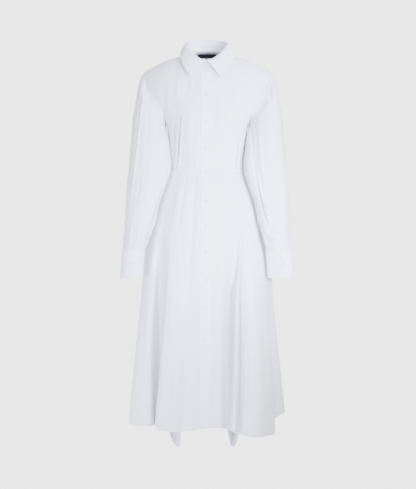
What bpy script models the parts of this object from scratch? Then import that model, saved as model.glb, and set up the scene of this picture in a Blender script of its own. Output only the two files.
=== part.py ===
"""A long-sleeved shirt dress, built from its cut pieces as thin cloth walls in its worn shape.

Metres. +Z is up, the front faces -Y and +X is the viewer's right. The origin is the middle of the
neck opening, level with the points where the shoulder seams meet the collar. Every outer surface is
a function of two numbers, and each piece is a grid on such a surface with a wall extruded inwards.
"""

import functools
import math

import bmesh
import bpy
import numpy as np
from mathutils import Matrix, Vector

# ---- driving sizes ----
CLOTH = 0.0012  # wall of a single layer
DOUBLED = 0.0016  # wall of the collar, cuffs and front band, which are sewn from two layers
SEAM = 0.0003  # gap between two pieces that a seam joins
LAY = 0.0005  # gap under a piece that lies on a panel
WAIST_Z = -0.362
WAIST_DIP = 0.010  # the seam sinks this much from the centre to the viewer's right
UNDERARM_Z = -0.218
BAND_WIDTH = 0.034
CENTRE_NECK_X = -0.004  # the front closing drifts a little to the wearer's right, more towards the hem
CUFF_DEPTH = 0.088
BUTTON_RADIUS = 0.0055
BUTTON_THICKNESS = 0.0022
BUTTON_SIDES = 12
LABEL_WALL = 0.0010

# ---- fineness of the grids ----
BODICE_COLUMNS = 10
CENTRE_ROWS = 11
NECKLINE_ROWS = 6  # one each 15 degrees from the centre to the shoulder
BACK_ROWS = 10
YOKE_ROWS = (0, 0.25, 0.50, 0.72, 0.86, 0.96, 1.0)
SLEEVE_SIDES = 24
SLEEVE_RINGS = 19
CUFF_SIDES = 24
CUFF_ROWS = 2
COLLAR_STEP = 15  # degrees
SKIRT_STEP = 0.0155  # widest column at the hem
SKIRT_ROWS = (0, 0.05, 0.10, 0.15, 0.20, 0.27, 0.35, 0.44, 0.55, 0.66, 0.77, 0.88, 1.0)


class Curve:
    """A smooth curve through the rows of a table, whose first column is the place along the curve."""

    def __init__(self, rows):
        table = np.array(rows, float)
        self.place = table[:, 0]
        self.value = table[:, 1:]
        step = np.diff(self.place)[:, None]
        slope = np.diff(self.value, axis=0) / step
        inner = (slope[:-1] * step[1:] + slope[1:] * step[:-1]) / (step[:-1] + step[1:])
        self.tangent = np.vstack([slope[:1], inner, slope[-1:]])

    def at(self, place):
        place = min(max(place, self.place[0]), self.place[-1])
        i = min(int(np.searchsorted(self.place, place, side="right")) - 1, len(self.place) - 2)
        width = self.place[i + 1] - self.place[i]
        t = (place - self.place[i]) / width
        start = self.value[i] * (1 + 2 * t) * (1 - t) ** 2
        end = self.value[i + 1] * t * t * (3 - 2 * t)
        leave = self.tangent[i] * width * t * (1 - t) ** 2
        arrive = self.tangent[i + 1] * width * t * t * (t - 1)
        return start + end + leave + arrive


def blend(a, b, t):
    return a + (b - a) * t


def ease(t):
    t = min(max(t, 0.0), 1.0)
    return t * t * (3 - 2 * t)


def hump(distance, width):
    """A soft ridge, 1 at its middle."""
    return math.exp(-((distance / width) ** 2))


# ---- the body of the dress above the waist ----
# The cloth at each height: half its width, and how far it stands forward and back of the side seams.
TORSO = Curve([
    # z, half width, front, back
    (-0.375, 0.1185, 0.090, 0.074),
    (-0.362, 0.1180, 0.090, 0.074),
    (-0.333, 0.1175, 0.094, 0.075),
    (-0.300, 0.1200, 0.102, 0.080),
    (-0.275, 0.1232, 0.109, 0.085),
    (-0.250, 0.1265, 0.114, 0.090),
    (-0.218, 0.1310, 0.116, 0.096),
    (-0.205, 0.1395, 0.116, 0.098),
    (-0.190, 0.1520, 0.115, 0.100),
    (-0.170, 0.1660, 0.112, 0.102),
    (-0.133, 0.1900, 0.106, 0.103),
    (-0.090, 0.2100, 0.099, 0.101),
    (-0.048, 0.2180, 0.092, 0.098),
    (0.030, 0.2200, 0.088, 0.095),
])
TORSO_ROUNDNESS = 2.3  # above 2, the cross-section is squarer than an ellipse
SHOULDER_ROLL = 0.100  # height over which the cloth turns down from the shoulder seam
SHOULDER = Curve([
    # x, height of the shoulder seam
    (0.066, 0.0040),
    (0.088, 0.0000),
    (0.133, -0.0120),
    (0.162, -0.0260),
    (0.182, -0.0360),
    (0.200, -0.0480),
    (0.225, -0.0660),
])
NECK_SIDE = 0.066
NECK_RISE_FRONT = 0.012
NECK_RISE_BACK = 0.030

# The neckline seam, by the angle round the neck from the centre front.
NECKLINE = Curve([
    # angle, x, z
    (0, 0.0000, -0.0440),
    (30, 0.0340, -0.0320),
    (45, 0.0470, -0.0170),
    (60, 0.0580, -0.0060),
    (90, 0.0660, 0.0040),
    (120, 0.0580, 0.0075),
    (150, 0.0340, 0.0185),
    (180, 0.0000, 0.0220),
])

# The armhole, seen from the front, leans from the shoulder tip to the underarm. It bows outwards
# over the point of the shoulder and inwards beside the chest.
SHOULDER_TIP = (0.2000, -0.0480)
UNDERARM = (0.1310, UNDERARM_Z)
ARMHOLE_BOWS = (
    # height of the bow's middle, reach up and down, how far outwards
    (-0.092, 0.026, 0.0170),
    (-0.172, 0.030, -0.0075),
)

# Tucks that take in the bodice above the waist seam.
TUCKS = (
    # face, x at the waist, x at the top, height, half width, depth
    (-1, -0.096, -0.082, 0.160, 0.0085, 0.0075),
    (-1, -0.083, -0.064, 0.120, 0.0080, 0.0035),
    (-1, 0.091, 0.106, 0.150, 0.0085, 0.0075),
    (-1, 0.078, 0.090, 0.110, 0.0080, 0.0035),
    (1, -0.066, -0.056, 0.150, 0.0095, 0.0060),
    (1, 0.066, 0.056, 0.150, 0.0095, 0.0060),
)
# Long soft folds that hang from the collar, shoulders and underarms.
DRAPES = (
    # face, x and z of the upper end, x and z of the lower end, half width, height of the ridge
    (-1, -0.085, -0.040, -0.112, -0.170, 0.012, 0.0040),
    (-1, -0.062, -0.060, -0.090, -0.190, 0.012, -0.0040),
    (-1, -0.150, -0.120, -0.118, -0.240, 0.010, -0.0040),
    (-1, 0.030, -0.085, 0.024, -0.270, 0.010, -0.0030),
    (-1, 0.150, -0.120, 0.112, -0.250, 0.010, -0.0040),
    (-1, 0.120, -0.050, 0.090, -0.190, 0.014, 0.0030),
    (1, -0.110, -0.120, -0.080, -0.270, 0.014, 0.0040),
    (1, 0.100, -0.110, 0.085, -0.280, 0.014, 0.0040),
)
BUST_X = 0.070
BUST_Z = -0.205
BUST_SPREAD = 0.045
BUST_RISE = 0.006
YOKE_Z = -0.092  # height of the seam under the yoke

# How the rows and columns of the bodice's grids are shared out.
BAND_SHARE = 0.13  # of the columns of a front, under the front band
BAND_TRIM = 0.005  # of the rows, left free of the band under the collar
SIDE_SEAM_END = 0.40  # of the rows, beside the side seam and below the armhole
NECK_START = 0.76  # of the rows of a front, below the neckline
YOKE_NECK_SHARE = 0.36  # of the yoke's width, under the neckline

# ---- sleeves ----
# Each section runs from its outer edge to its inner edge, a little forward of the side seams.
SLEEVE = Curve([
    # place, outer x, z, inner x, z, middle y, half depth, change of inner x on the right sleeve
    (0.00, 0.2000, -0.0480, 0.1310, -0.2180, 0.000, 0.060, 0.000),
    (0.05, 0.2135, -0.0670, 0.1322, -0.2270, -0.004, 0.062, 0.000),
    (0.11, 0.2225, -0.1010, 0.1294, -0.2390, -0.013, 0.062, 0.000),
    (0.19, 0.2290, -0.1480, 0.1262, -0.2550, -0.025, 0.061, 0.000),
    (0.29, 0.2390, -0.2050, 0.1232, -0.2770, -0.035, 0.061, 0.000),
    (0.39, 0.2435, -0.2650, 0.1195, -0.3020, -0.042, 0.061, 0.000),
    (0.48, 0.2475, -0.3150, 0.1168, -0.3330, -0.049, 0.061, -0.001),
    (0.57, 0.2510, -0.3680, 0.1175, -0.3670, -0.056, 0.060, -0.001),
    (0.65, 0.2550, -0.4120, 0.1290, -0.4090, -0.068, 0.057, -0.002),
    (0.75, 0.2575, -0.4700, 0.1490, -0.4650, -0.083, 0.053, -0.003),
    (0.85, 0.2590, -0.5300, 0.1630, -0.5250, -0.094, 0.049, -0.003),
    (0.93, 0.2615, -0.5760, 0.1780, -0.5720, -0.100, 0.044, -0.006),
    (0.97, 0.2640, -0.6010, 0.1880, -0.5990, -0.102, 0.040, -0.009),
    (1.00, 0.2655, -0.6170, 0.1965, -0.6170, -0.103, 0.0365, -0.013),
])
CAP_REACH = 0.14  # the stretch over which the sleeve leaves the armhole's own curve
CAP_CLEARANCE = 0.0010  # between a sleeve and its curved armhole
SLEEVE_FOLDS = (
    # sleeve, angle at its top, angle at its end, half width, depth, start, end
    (-1, 62, 50, 13, 0.0050, 0.05, 0.80),
    (-1, 128, 112, 12, 0.0070, 0.08, 0.90),
    (-1, 20, 16, 12, 0.0060, 0.06, 0.78),
    (-1, 215, 235, 16, 0.0060, 0.10, 0.88),
    (-1, 290, 300, 16, 0.0050, 0.10, 0.80),
    (1, 128, 104, 12, 0.0080, 0.10, 0.92),
    (1, 58, 66, 13, 0.0060, 0.05, 0.86),
    (1, 96, 84, 10, 0.0040, 0.30, 0.90),
    (1, 220, 236, 16, 0.0060, 0.10, 0.88),
    (1, 292, 302, 16, 0.0050, 0.10, 0.80),
)
# Loose rings of cloth that gather above each cuff.
SLEEVE_SLUMPS = (
    # sleeve, place, half length, height, angle where it is deepest
    (-1, 0.865, 0.020, 0.0035, 120),
    (-1, 0.925, 0.016, 0.0030, 60),
    (1, 0.850, 0.020, 0.0045, 110),
    (1, 0.905, 0.016, 0.0045, 70),
    (1, 0.955, 0.012, 0.0035, 95),
)
CUFF_PLEATS = 7  # small gathers into each cuff
CUFF_PLEAT_HEIGHT = 0.0020
CUFF_SPREAD = 0.0062  # how much further out the cuff's lower edge lies
CUFF_START = 60  # degrees round from the outer edge, on the side that faces forward
CUFF_OVERLAP = 30
CUFF_BUTTON_INSET = 12  # degrees from the edge that laps over
CUFF_BUTTON_DROP = 0.044

# ---- collar ----
# Round the neck: the roll line on top of the stand, and the leaf's outer edge.
COLLAR = Curve([
    # angle, roll x, roll y, roll z, edge x, edge y, edge z
    (0, 0.0025, -0.0770, -0.0185, 0.0460, -0.1010, -0.0745),
    (15, 0.0180, -0.0730, -0.0160, 0.0560, -0.0985, -0.0630),
    (30, 0.0330, -0.0620, -0.0050, 0.0660, -0.0910, -0.0480),
    (50, 0.0480, -0.0430, 0.0115, 0.0765, -0.0740, -0.0290),
    (70, 0.0590, -0.0180, 0.0310, 0.0845, -0.0480, -0.0100),
    (90, 0.0630, 0.0040, 0.0420, 0.0880, -0.0130, 0.0050),
    (120, 0.0540, 0.0330, 0.0500, 0.0820, 0.0330, 0.0050),
    (150, 0.0310, 0.0490, 0.0560, 0.0480, 0.0640, 0.0110),
    (180, 0.0000, 0.0540, 0.0580, 0.0000, 0.0730, 0.0140),
])
STAND_OVERLAP = 10  # degrees past the centre front on each side
STAND_LIFT = 0.0008  # of the stand above the neckline seam
LEAF_LIFT = 0.0011  # of the leaf's underside above the roll line
LEAF_TURN = 0.12  # share of the leaf that rolls over the stand
LEAF_SHELF = 0.0065  # how far outwards it goes in that share
LEAF_SHELF_DROP = 0.0012
LEAF_SWELL = 0.0020

# ---- skirt ----
HIP_HALF_WIDTH = 0.182
HIP_FRONT = 0.146
HIP_BACK = 0.132
HIP_DROP = 0.166
CLOSING_DRIFT = -0.0008  # how far the front band's middle moves from the waist to the hip
MID_Z = -0.812
UPPER_HIP = 0.585  # how much of the way out to the hip the cloth is, half way down to it
SKIRT_STATIONS = (0.0, 0.10, 0.20, 0.55, 1.0)
# Each row is one edge, crest or hollow of a fold, from the centre front round by the viewer's right.
SKIRT_FOLDS = (
    # name, angle at the waist, hollow at the hip, x and y at mid height, x, y and z at the hem
    ("centre front", 0, 0.000, -0.0060, -0.1720, -0.0090, -0.1850, -1.1690),
    ("band edge", 8, 0.000, 0.0110, -0.1720, 0.0080, -0.1860, -1.1660),
    ("panel", 15, 0.000, 0.0420, -0.1710, 0.0460, -0.1880, -1.1670),
    ("hollow", 29, 0.001, 0.0765, -0.1370, 0.0640, -0.1560, -1.1740),
    ("ridge", 32, 0.000, 0.0890, -0.1660, 0.0790, -0.1720, -1.1800),
    ("ridge edge", 34.5, 0.000, 0.0975, -0.1630, 0.0880, -0.1720, -1.1830),
    ("under edge", 36.5, 0.001, 0.0990, -0.1390, 0.0905, -0.1490, -1.1850),
    ("right panel", 40, 0.002, 0.1110, -0.1370, 0.1040, -0.1480, -1.1910),
    ("right crest", 50, 0.000, 0.1400, -0.1450, 0.1470, -0.1640, -1.1990),
    ("right slope", 62, 0.000, 0.1740, -0.1160, 0.1920, -0.1330, -1.1960),
    ("right edge", 72, 0.001, 0.1930, -0.0830, 0.2130, -0.1020, -1.1920),
    ("side hollow", 81, 0.003, 0.1890, -0.0520, 0.2060, -0.0640, -1.1600),
    ("right side", 91, 0.000, 0.2140, -0.0050, 0.2480, -0.0050, -1.1350),
    ("rear hollow", 103, 0.003, 0.2010, 0.0420, 0.2220, 0.0480, -1.1500),
    ("rear crest", 114, 0.000, 0.1900, 0.0930, 0.2080, 0.1100, -1.1700),
    ("rear dip", 126, 0.004, 0.1480, 0.1060, 0.1560, 0.1140, -1.1800),
    ("point side", 136, 0.002, 0.1180, 0.1290, 0.1110, 0.1380, -1.2020),
    ("right point", 143, 0.000, 0.0970, 0.1540, 0.0950, 0.1780, -1.2600),
    ("right point", 149, 0.000, 0.0860, 0.1560, 0.0810, 0.1800, -1.2690),
    ("point side", 156, 0.004, 0.0640, 0.1300, 0.0620, 0.1360, -1.2000),
    ("back crest", 167, 0.000, 0.0320, 0.1500, 0.0300, 0.1680, -1.1860),
    ("centre back", 180, 0.003, 0.0000, 0.1350, -0.0020, 0.1430, -1.1840),
    ("back crest", 192, 0.000, -0.0340, 0.1500, -0.0370, 0.1680, -1.1860),
    ("point side", 203, 0.004, -0.0740, 0.1300, -0.0840, 0.1380, -1.2020),
    ("left point", 210, 0.000, -0.0920, 0.1560, -0.0920, 0.1800, -1.2690),
    ("left point", 216, 0.000, -0.1030, 0.1550, -0.1080, 0.1780, -1.2620),
    ("point side", 223, 0.002, -0.1270, 0.1280, -0.1340, 0.1370, -1.2020),
    ("rear dip", 234, 0.004, -0.1520, 0.1030, -0.1620, 0.1110, -1.1800),
    ("rear crest", 246, 0.000, -0.1910, 0.0880, -0.2120, 0.1020, -1.1730),
    ("rear hollow", 258, 0.003, -0.2000, 0.0400, -0.2230, 0.0440, -1.1640),
    ("left side", 272, 0.000, -0.2140, -0.0580, -0.2490, -0.0700, -1.1640),
    ("left flute", 288, 0.000, -0.1970, -0.0880, -0.2210, -0.1060, -1.1700),
    ("flute edge", 302, 0.001, -0.1740, -0.1000, -0.1770, -0.1160, -1.1680),
    ("left hollow", 311, 0.003, -0.1540, -0.0740, -0.1640, -0.0820, -1.1640),
    ("panel edge", 318, 0.001, -0.1350, -0.1420, -0.1620, -0.1560, -1.1640),
    ("left panel", 324, 0.000, -0.1220, -0.1640, -0.1480, -0.1790, -1.1760),
    ("left crest", 335, 0.000, -0.0900, -0.1720, -0.1010, -0.1860, -1.1800),
    ("soft dip", 345, 0.002, -0.0540, -0.1680, -0.0580, -0.1810, -1.1770),
    ("band edge", 352, 0.000, -0.0230, -0.1720, -0.0260, -0.1840, -1.1710),
)
# Rows of the fold table that lie on the front band, and how many band widths from its middle.
CLOSING_ROWS = {0: 0.0, 1: 0.5, -1: -0.5}
RIGHT_SIDE_ROW = 12
BACK_ROW = 21
LEFT_SIDE_ROW = 30

# Buttons down the front, by height on the cloth.
STAND_BUTTON_Z = -0.0290
BAND_BUTTONS = (
    -0.0560, -0.1290, -0.2120, -0.2980, -0.3740, -0.4640,
    -0.5430, -0.6260, -0.7110, -0.7970, -0.8940,
)

# ---- finishes ----
WHITE_COTTON = ((0.84, 0.85, 0.88), 0.85)
WHITE_PEARL = ((0.90, 0.90, 0.91), 0.30)
BLACK_SATIN = ((0.012, 0.012, 0.014), 0.55)


# ---- walls from surfaces ----
def piece_object(name, bm, finish):
    """Links the finished mesh as its own object with its own material."""
    colour, roughness = finish
    mesh = bpy.data.meshes.new(name)
    bm.to_mesh(mesh)
    bm.free()
    mesh.shade_smooth()
    material = bpy.data.materials.new(name)
    material.use_nodes = True
    shader = material.node_tree.nodes["Principled BSDF"]
    shader.inputs["Base Color"].default_value = (*colour, 1.0)
    shader.inputs["Roughness"].default_value = roughness
    mesh.materials.append(material)
    result = bpy.data.objects.new(name, mesh)
    bpy.context.scene.collection.objects.link(result)
    result.parent = bpy.data.objects["dress"]
    return result


def cloth_wall(name, surface, across, up, wall=CLOTH, finish=WHITE_COTTON, closed=False, mitre=None):
    """A wall of cloth whose outer side is surface(a, b), for a in across and b in up.

    mitre(column, row) names the axes along which the wall may not lean, so that two pieces meet
    flush at a seam.
    """
    bm = bmesh.new()
    columns, rows = len(across), len(up)
    bmesh.ops.create_grid(bm, x_segments=columns - 1, y_segments=rows - 1, size=0.5)
    inward = bm.verts.layers.float_vector.new("inward")
    bm.verts.ensure_lookup_table()
    for i, vert in enumerate(bm.verts):
        vert.co = Vector(surface(across[i % columns], up[i // columns]))
        vert[inward] = (i % columns, i // columns, 0)
    if closed:
        bmesh.ops.remove_doubles(bm, verts=bm.verts, dist=1e-6)
    bm.normal_update()
    for vert in bm.verts:
        lean = vert.normal.copy()
        column, row = (round(n) for n in vert[inward][:2])
        for axis in mitre(column, row) if mitre else "":
            lean["xyz".index(axis)] = 0.0
        vert[inward] = lean.normalized() * -wall
    made = bmesh.ops.extrude_face_region(bm, geom=bm.faces[:], use_keep_orig=True)
    for vert in (g for g in made["geom"] if isinstance(g, bmesh.types.BMVert)):
        vert.co += vert[inward]
    bmesh.ops.recalc_face_normals(bm, faces=bm.faces)
    return piece_object(name, bm, finish)


def normal_of(surface, a, b, step=1e-3):
    """The direction in which surface faces at (a, b), with the point itself."""
    here = Vector(surface(a, b))
    along_a = Vector(surface(a + step, b)) - Vector(surface(a - step, b))
    along_b = Vector(surface(a, b + step)) - Vector(surface(a, b - step))
    return here, along_a.cross(along_b).normalized()


def moved_out(surface, distance):
    """The same surface, standing proud of itself."""

    def proud(a, b):
        here, facing = normal_of(surface, a, b)
        return here + facing * distance

    return proud


def even(count, start=0.0, end=1.0):
    return [start + (end - start) * i / count for i in range(count + 1)]


# ---- bodice ----
def ridge(x, face):
    """Height of the shoulder seam at x, carried on across the neck."""
    x = abs(x)
    if x >= NECK_SIDE:
        return SHOULDER.at(x)[0]
    rise = NECK_RISE_FRONT if face < 0 else NECK_RISE_BACK
    return SHOULDER.at(NECK_SIDE)[0] + rise * (1 - (x / NECK_SIDE) ** 2)


def tuck_depth(x, z, face):
    above = z - WAIST_Z
    total = 0.0
    for tuck_face, waist_x, top_x, height, width, depth in TUCKS:
        if tuck_face != face or above > height:
            continue
        offset = (x - blend(waist_x, top_x, above / height)) / width
        fade = ease(above / 0.02) * (1 - above / height) ** 0.8
        total += depth * fade * offset * math.exp(0.5 - offset * offset / 2) * math.copysign(1, waist_x)
    return total


def drape_height(x, z, face):
    total = 0.0
    for drape_face, top_x, top_z, end_x, end_z, width, height in DRAPES:
        if drape_face != face:
            continue
        along = (z - top_z) / (end_z - top_z)
        if 0 < along < 1:
            total += height * math.sin(math.pi * along) * hump(x - blend(top_x, end_x, along), width)
    return total


def torso_depth(x, z, face):
    """How far the cloth lies in front of (face -1) or behind (face 1) the side seams."""
    half_width, front, back = TORSO.at(z)
    taper = max(0.0, 1 - (abs(x) / half_width) ** TORSO_ROUNDNESS) ** (1 / TORSO_ROUNDNESS)
    below = min(max(ridge(x, face) - z, 0.0) / SHOULDER_ROLL, 1.0)
    roll = math.sqrt(1 - (1 - below) ** 2)
    depth = (front if face < 0 else back) * taper * roll
    softness = min(taper, roll)
    if face < 0:
        bust = hump(abs(x) - BUST_X, BUST_SPREAD) * hump(z - BUST_Z, BUST_SPREAD)
        depth += BUST_RISE * bust * softness
    return depth + (tuck_depth(x, z, face) + drape_height(x, z, face)) * softness


def waist_z(x):
    return WAIST_Z - WAIST_DIP * ease((x - 0.010) / 0.090)


def centre_x(z):
    """The line down the middle of the front closing, above the waist."""
    return CENTRE_NECK_X + 0.0005 * z / WAIST_Z


def neckline(angle):
    """x and z on the neckline seam; the front drifts with the closing."""
    folded = abs((angle + 180) % 360 - 180)
    x, z = NECKLINE.at(folded)
    side = 1 if (angle % 360) <= 180 else -1
    return side * x + CENTRE_NECK_X * max(0.0, math.cos(math.radians(angle))) ** 2, z


def armhole_bow(angle, z):
    """How far outwards the armhole seam bows at an angle, whose height is z."""
    between = math.sin(math.radians(angle)) ** 2
    return between * sum(out * hump(z - middle, reach) for middle, reach, out in ARMHOLE_BOWS)


def armhole(angle):
    """x and z on the armhole seam: 0 at the shoulder tip, 180 at the underarm."""
    turn = math.cos(math.radians(angle))
    middle = [(a + b) / 2 for a, b in zip(SHOULDER_TIP, UNDERARM)]
    x, z = [m + (tip - m) * turn for m, tip in zip(middle, SHOULDER_TIP)]
    return x + armhole_bow(angle, z), z


def yoke_corner():
    """Where up the outer edge the armhole reaches the height of the yoke seam."""
    middle_z = (SHOULDER_TIP[1] + UNDERARM[1]) / 2
    angle = math.degrees(math.acos((YOKE_Z - middle_z) / (SHOULDER_TIP[1] - middle_z)))
    return 1 - (1 - SIDE_SEAM_END) * angle / 180


YOKE_CORNER = yoke_corner()


def inner_edge(v):
    """x and z up the centre front and then round the neckline to the shoulder."""
    if v <= NECK_START:
        z = blend(WAIST_Z, neckline(0)[1], v / NECK_START)
        return centre_x(z), z
    return neckline(blend(0, 90, (v - NECK_START) / (1 - NECK_START)))


def outer_edge(v):
    """x and z up the side seam and then up the armhole to the shoulder tip."""
    if v <= SIDE_SEAM_END:
        z = blend(WAIST_Z, UNDERARM_Z, v / SIDE_SEAM_END)
        return TORSO.at(z)[0], z
    return armhole(180 * (1 - (v - SIDE_SEAM_END) / (1 - SIDE_SEAM_END)))


def front_point(u, v):
    """u runs from the centre to a side, negative on the viewer's left; v from waist to shoulder."""
    side = -1 if u < 0 else 1
    inner_x, inner_z = inner_edge(v)
    if side < 0:
        inner_x = 2 * inner_edge(min(v, NECK_START))[0] - inner_x
    outer_x, outer_z = outer_edge(v)
    share = abs(u)
    band_x = inner_x + side * BAND_WIDTH / 2 * min(share / BAND_SHARE, 1.0)
    x = blend(band_x, side * outer_x, max(0.0, share - BAND_SHARE) / (1 - BAND_SHARE))
    z = blend(inner_z, outer_z, share)
    z += (ridge(x, -1) - z) * max(0.0, (v - 0.5) / 0.5) ** 4 * math.sin(math.pi * share)
    if v == 1.0:
        z = ridge(x, -1)
    z += (waist_z(x) - WAIST_Z) * (1 - v) ** 4
    return x, -torso_depth(x, z, -1), z


def front_rows():
    return even(CENTRE_ROWS, 0.0, NECK_START) + even(NECKLINE_ROWS, NECK_START, 1.0)[1:]


def front_panel(name, side):
    """One front, from the closing to the side seam, with its share of neckline and armhole."""
    shares = [0.0] + even(BODICE_COLUMNS, BAND_SHARE, 1.0)
    shares = shares if side > 0 else [-s for s in reversed(shares)]
    seam_column = 0 if side > 0 else len(shares) - 1
    side_column = len(shares) - 1 - seam_column
    rows = front_rows()

    def surface(u, v):
        x, y, z = front_point(u if u else side * 1e-9, v)
        return x + side * SEAM / 2 * (1 - abs(u)), y - SEAM / 2, z + SEAM / 2 * (1 - v)

    def mitre(column, row):
        axes = "x" if column == seam_column and rows[row] <= NECK_START else ""
        on_side_seam = column == side_column and rows[row] <= SIDE_SEAM_END
        axes += "y" if rows[row] == 1.0 or on_side_seam else ""
        return axes + ("z" if row == 0 else "")

    return cloth_wall(name, surface, shares, rows, mitre=mitre)


def back_columns():
    """Shares across the back, the same on the back and the yoke so that their seam fits."""
    half = even(NECKLINE_ROWS, 0.0, YOKE_NECK_SHARE) + even(NECKLINE_ROWS, YOKE_NECK_SHARE, 1.0)[1:]
    return half[::-1] + [-share for share in half[1:]]


def back_point(u, w):
    """u runs across from -1 to 1, w from the waist up to the yoke seam."""
    outer_x, outer_z = outer_edge(w * YOKE_CORNER)
    share = abs(u)
    x = math.copysign(outer_x * share, u)
    z = blend(blend(WAIST_Z, YOKE_Z, w), outer_z, share)
    z += (waist_z(x) - WAIST_Z) * (1 - w) ** 4
    return x, torso_depth(x, z, 1), z


def back_panel():
    """The back, in one piece from side to side, up to the yoke."""
    columns = back_columns()
    rows = even(BACK_ROWS)

    def surface(u, w):
        x, y, z = back_point(u, w)
        return x, y + SEAM / 2, z + SEAM / 2 * (1 - 2 * w)

    def mitre(column, row):
        edge = column in (0, len(columns) - 1) and rows[row] * YOKE_CORNER <= SIDE_SEAM_END
        return ("y" if edge else "") + ("z" if row in (0, BACK_ROWS) else "")

    return cloth_wall("bodice_back", surface, columns, rows, mitre=mitre)


def yoke_point(u, w):
    """u runs across from -1 to 1, w from the yoke seam up to the neckline and shoulder seams."""
    side = -1 if u < 0 else 1
    share = abs(u)
    low_x, _, low_z = back_point(share, 1.0)
    if share <= YOKE_NECK_SHARE:
        top_x, top_z = neckline(blend(180, 90, share / YOKE_NECK_SHARE))
    else:
        top_x = blend(NECK_SIDE, SHOULDER_TIP[0], (share - YOKE_NECK_SHARE) / (1 - YOKE_NECK_SHARE))
        top_z = ridge(top_x, 1)
    x = blend(low_x, top_x, w)
    z = blend(low_z, top_z, w)
    edge_x, edge_z = outer_edge(blend(YOKE_CORNER, 1.0, w))
    corner_x, corner_z = outer_edge(YOKE_CORNER)
    pull = share**4
    x += pull * (edge_x - blend(corner_x, SHOULDER_TIP[0], w))
    z += pull * (edge_z - blend(corner_z, SHOULDER_TIP[1], w))
    return side * x, torso_depth(side * x, z, 1), z


def yoke_surface(u, w):
    x, y, z = yoke_point(u, w)
    return x, y + SEAM / 2, z + SEAM / 2 * (1 - w)


def yoke_panel():
    """The yoke across the shoulder blades, from armhole to armhole and up to the collar."""
    columns = back_columns()

    def mitre(column, row):
        on_shoulder = abs(columns[column]) >= YOKE_NECK_SHARE
        return "z" if row == 0 else "y" if row == len(YOKE_ROWS) - 1 and on_shoulder else ""

    return cloth_wall("yoke", yoke_surface, columns, YOKE_ROWS, mitre=mitre)


# ---- sleeves and cuffs ----
def sleeve_section(side, s):
    """The middle of a section, its half step towards the outer edge, and its half depth."""
    outer_x, outer_z, inner_x, inner_z, middle_y, depth, change = SLEEVE.at(s)
    if side > 0:
        inner_x += change
        depth += 0.45 * change
    middle = Vector(((outer_x + inner_x) / 2, middle_y, (outer_z + inner_z) / 2))
    half = Vector(((outer_x - inner_x) / 2, 0.0, (outer_z - inner_z) / 2))
    return middle, half, depth


def sleeve_point(side, angle, s):
    """A point on a sleeve: angle 0 on its outer edge, 90 in front; s from armhole to cuff seam."""
    middle, half, depth = sleeve_section(side, s)
    turn = math.radians(angle)
    point = middle + half * math.cos(turn) + Vector((0, -depth * math.sin(turn), 0))
    face = -1 if math.sin(turn) > 0 else 1
    arm_x, arm_z = armhole(angle)
    seam_y = face * torso_depth(arm_x, arm_z, face)
    away = ease(s / CAP_REACH)
    point.x += armhole_bow(angle, arm_z) * (1 - away)
    point.y = blend(seam_y, point.y, away)
    out = (point - middle).normalized()
    inset = 0.0
    for sleeve, top, end, width, fold_depth, start, stop in SLEEVE_FOLDS:
        if sleeve == side and start < s < stop:
            along = (s - start) / (stop - start)
            off = (angle - blend(top, end, along) + 180) % 360 - 180
            inset += fold_depth * hump(off, width) * math.sin(math.pi * along) ** 0.6
    for sleeve, place, length, height, deepest in SLEEVE_SLUMPS:
        if sleeve == side:
            towards = 0.6 + 0.4 * math.cos(math.radians(angle - deepest))
            inset -= height * hump(s - place, length) * towards
    gather = ease((s - 0.86) / 0.10) * (1 - 0.75 * ease((s - 0.96) / 0.04))
    inset -= CUFF_PLEAT_HEIGHT * gather * math.cos(CUFF_PLEATS * turn)
    point -= out * inset
    point.x *= side
    return point


def sleeve(name, side):
    """A sleeve in one piece, a tube with its seam along the inner edge."""
    angles = even(SLEEVE_SIDES, 180.0 * side, -180.0 * side)
    places = sorted(set(even(SLEEVE_RINGS - 3)) | {0.022, 0.905, 0.97})

    def surface(angle, s):
        point = sleeve_point(side, 180.0 if abs(angle) == 180.0 else angle, s)
        away = CAP_CLEARANCE * (1 - s)
        return point + Vector((side * away, 0.0, SEAM / 2 - away))

    return cloth_wall(name, surface, angles, places[::-1], closed=True)


def cuff_point(side, angle, drop):
    """A point on a cuff, drop metres below its seam. The end laps over the start, one wall out."""
    middle, half, depth = sleeve_section(side, 1.0)
    turn = math.radians(angle)
    share = drop / CUFF_DEPTH
    lap = (DOUBLED + LAY) * (angle / 360)
    width = half.x + lap
    x = middle.x + CUFF_SPREAD * share + width * math.cos(turn)
    y = middle.y - (depth + lap) * math.sin(turn)
    return Vector((side * x, y, middle.z - SEAM / 2 - drop))


def cuff_angles(side):
    """A cuff goes once round the wrist and laps over its own start."""
    angles = even(CUFF_SIDES, CUFF_START, CUFF_START + 360 + CUFF_OVERLAP)
    return angles if side < 0 else angles[::-1]


def cuff(name, side):
    """A doubled band round the wrist whose one end laps over the other."""
    rows = even(CUFF_ROWS, CUFF_DEPTH, 0.0)
    return cloth_wall(name, lambda a, d: cuff_point(side, a, d), cuff_angles(side), rows, wall=DOUBLED)


# ---- collar ----
def collar_rows(angle):
    """The roll line and the leaf's edge at an angle round the neck, drifting with the closing."""
    folded = abs((angle + 180) % 360 - 180)
    row = COLLAR.at(folded)
    side = 1 if (angle % 360) <= 180 else -1
    drift = Vector((CENTRE_NECK_X * max(0.0, math.cos(math.radians(angle))) ** 2, 0, 0))
    roll = Vector((side * row[0], row[1], row[2])) + drift
    edge = Vector((side * row[3], row[4], row[5])) + drift
    return roll, edge


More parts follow.
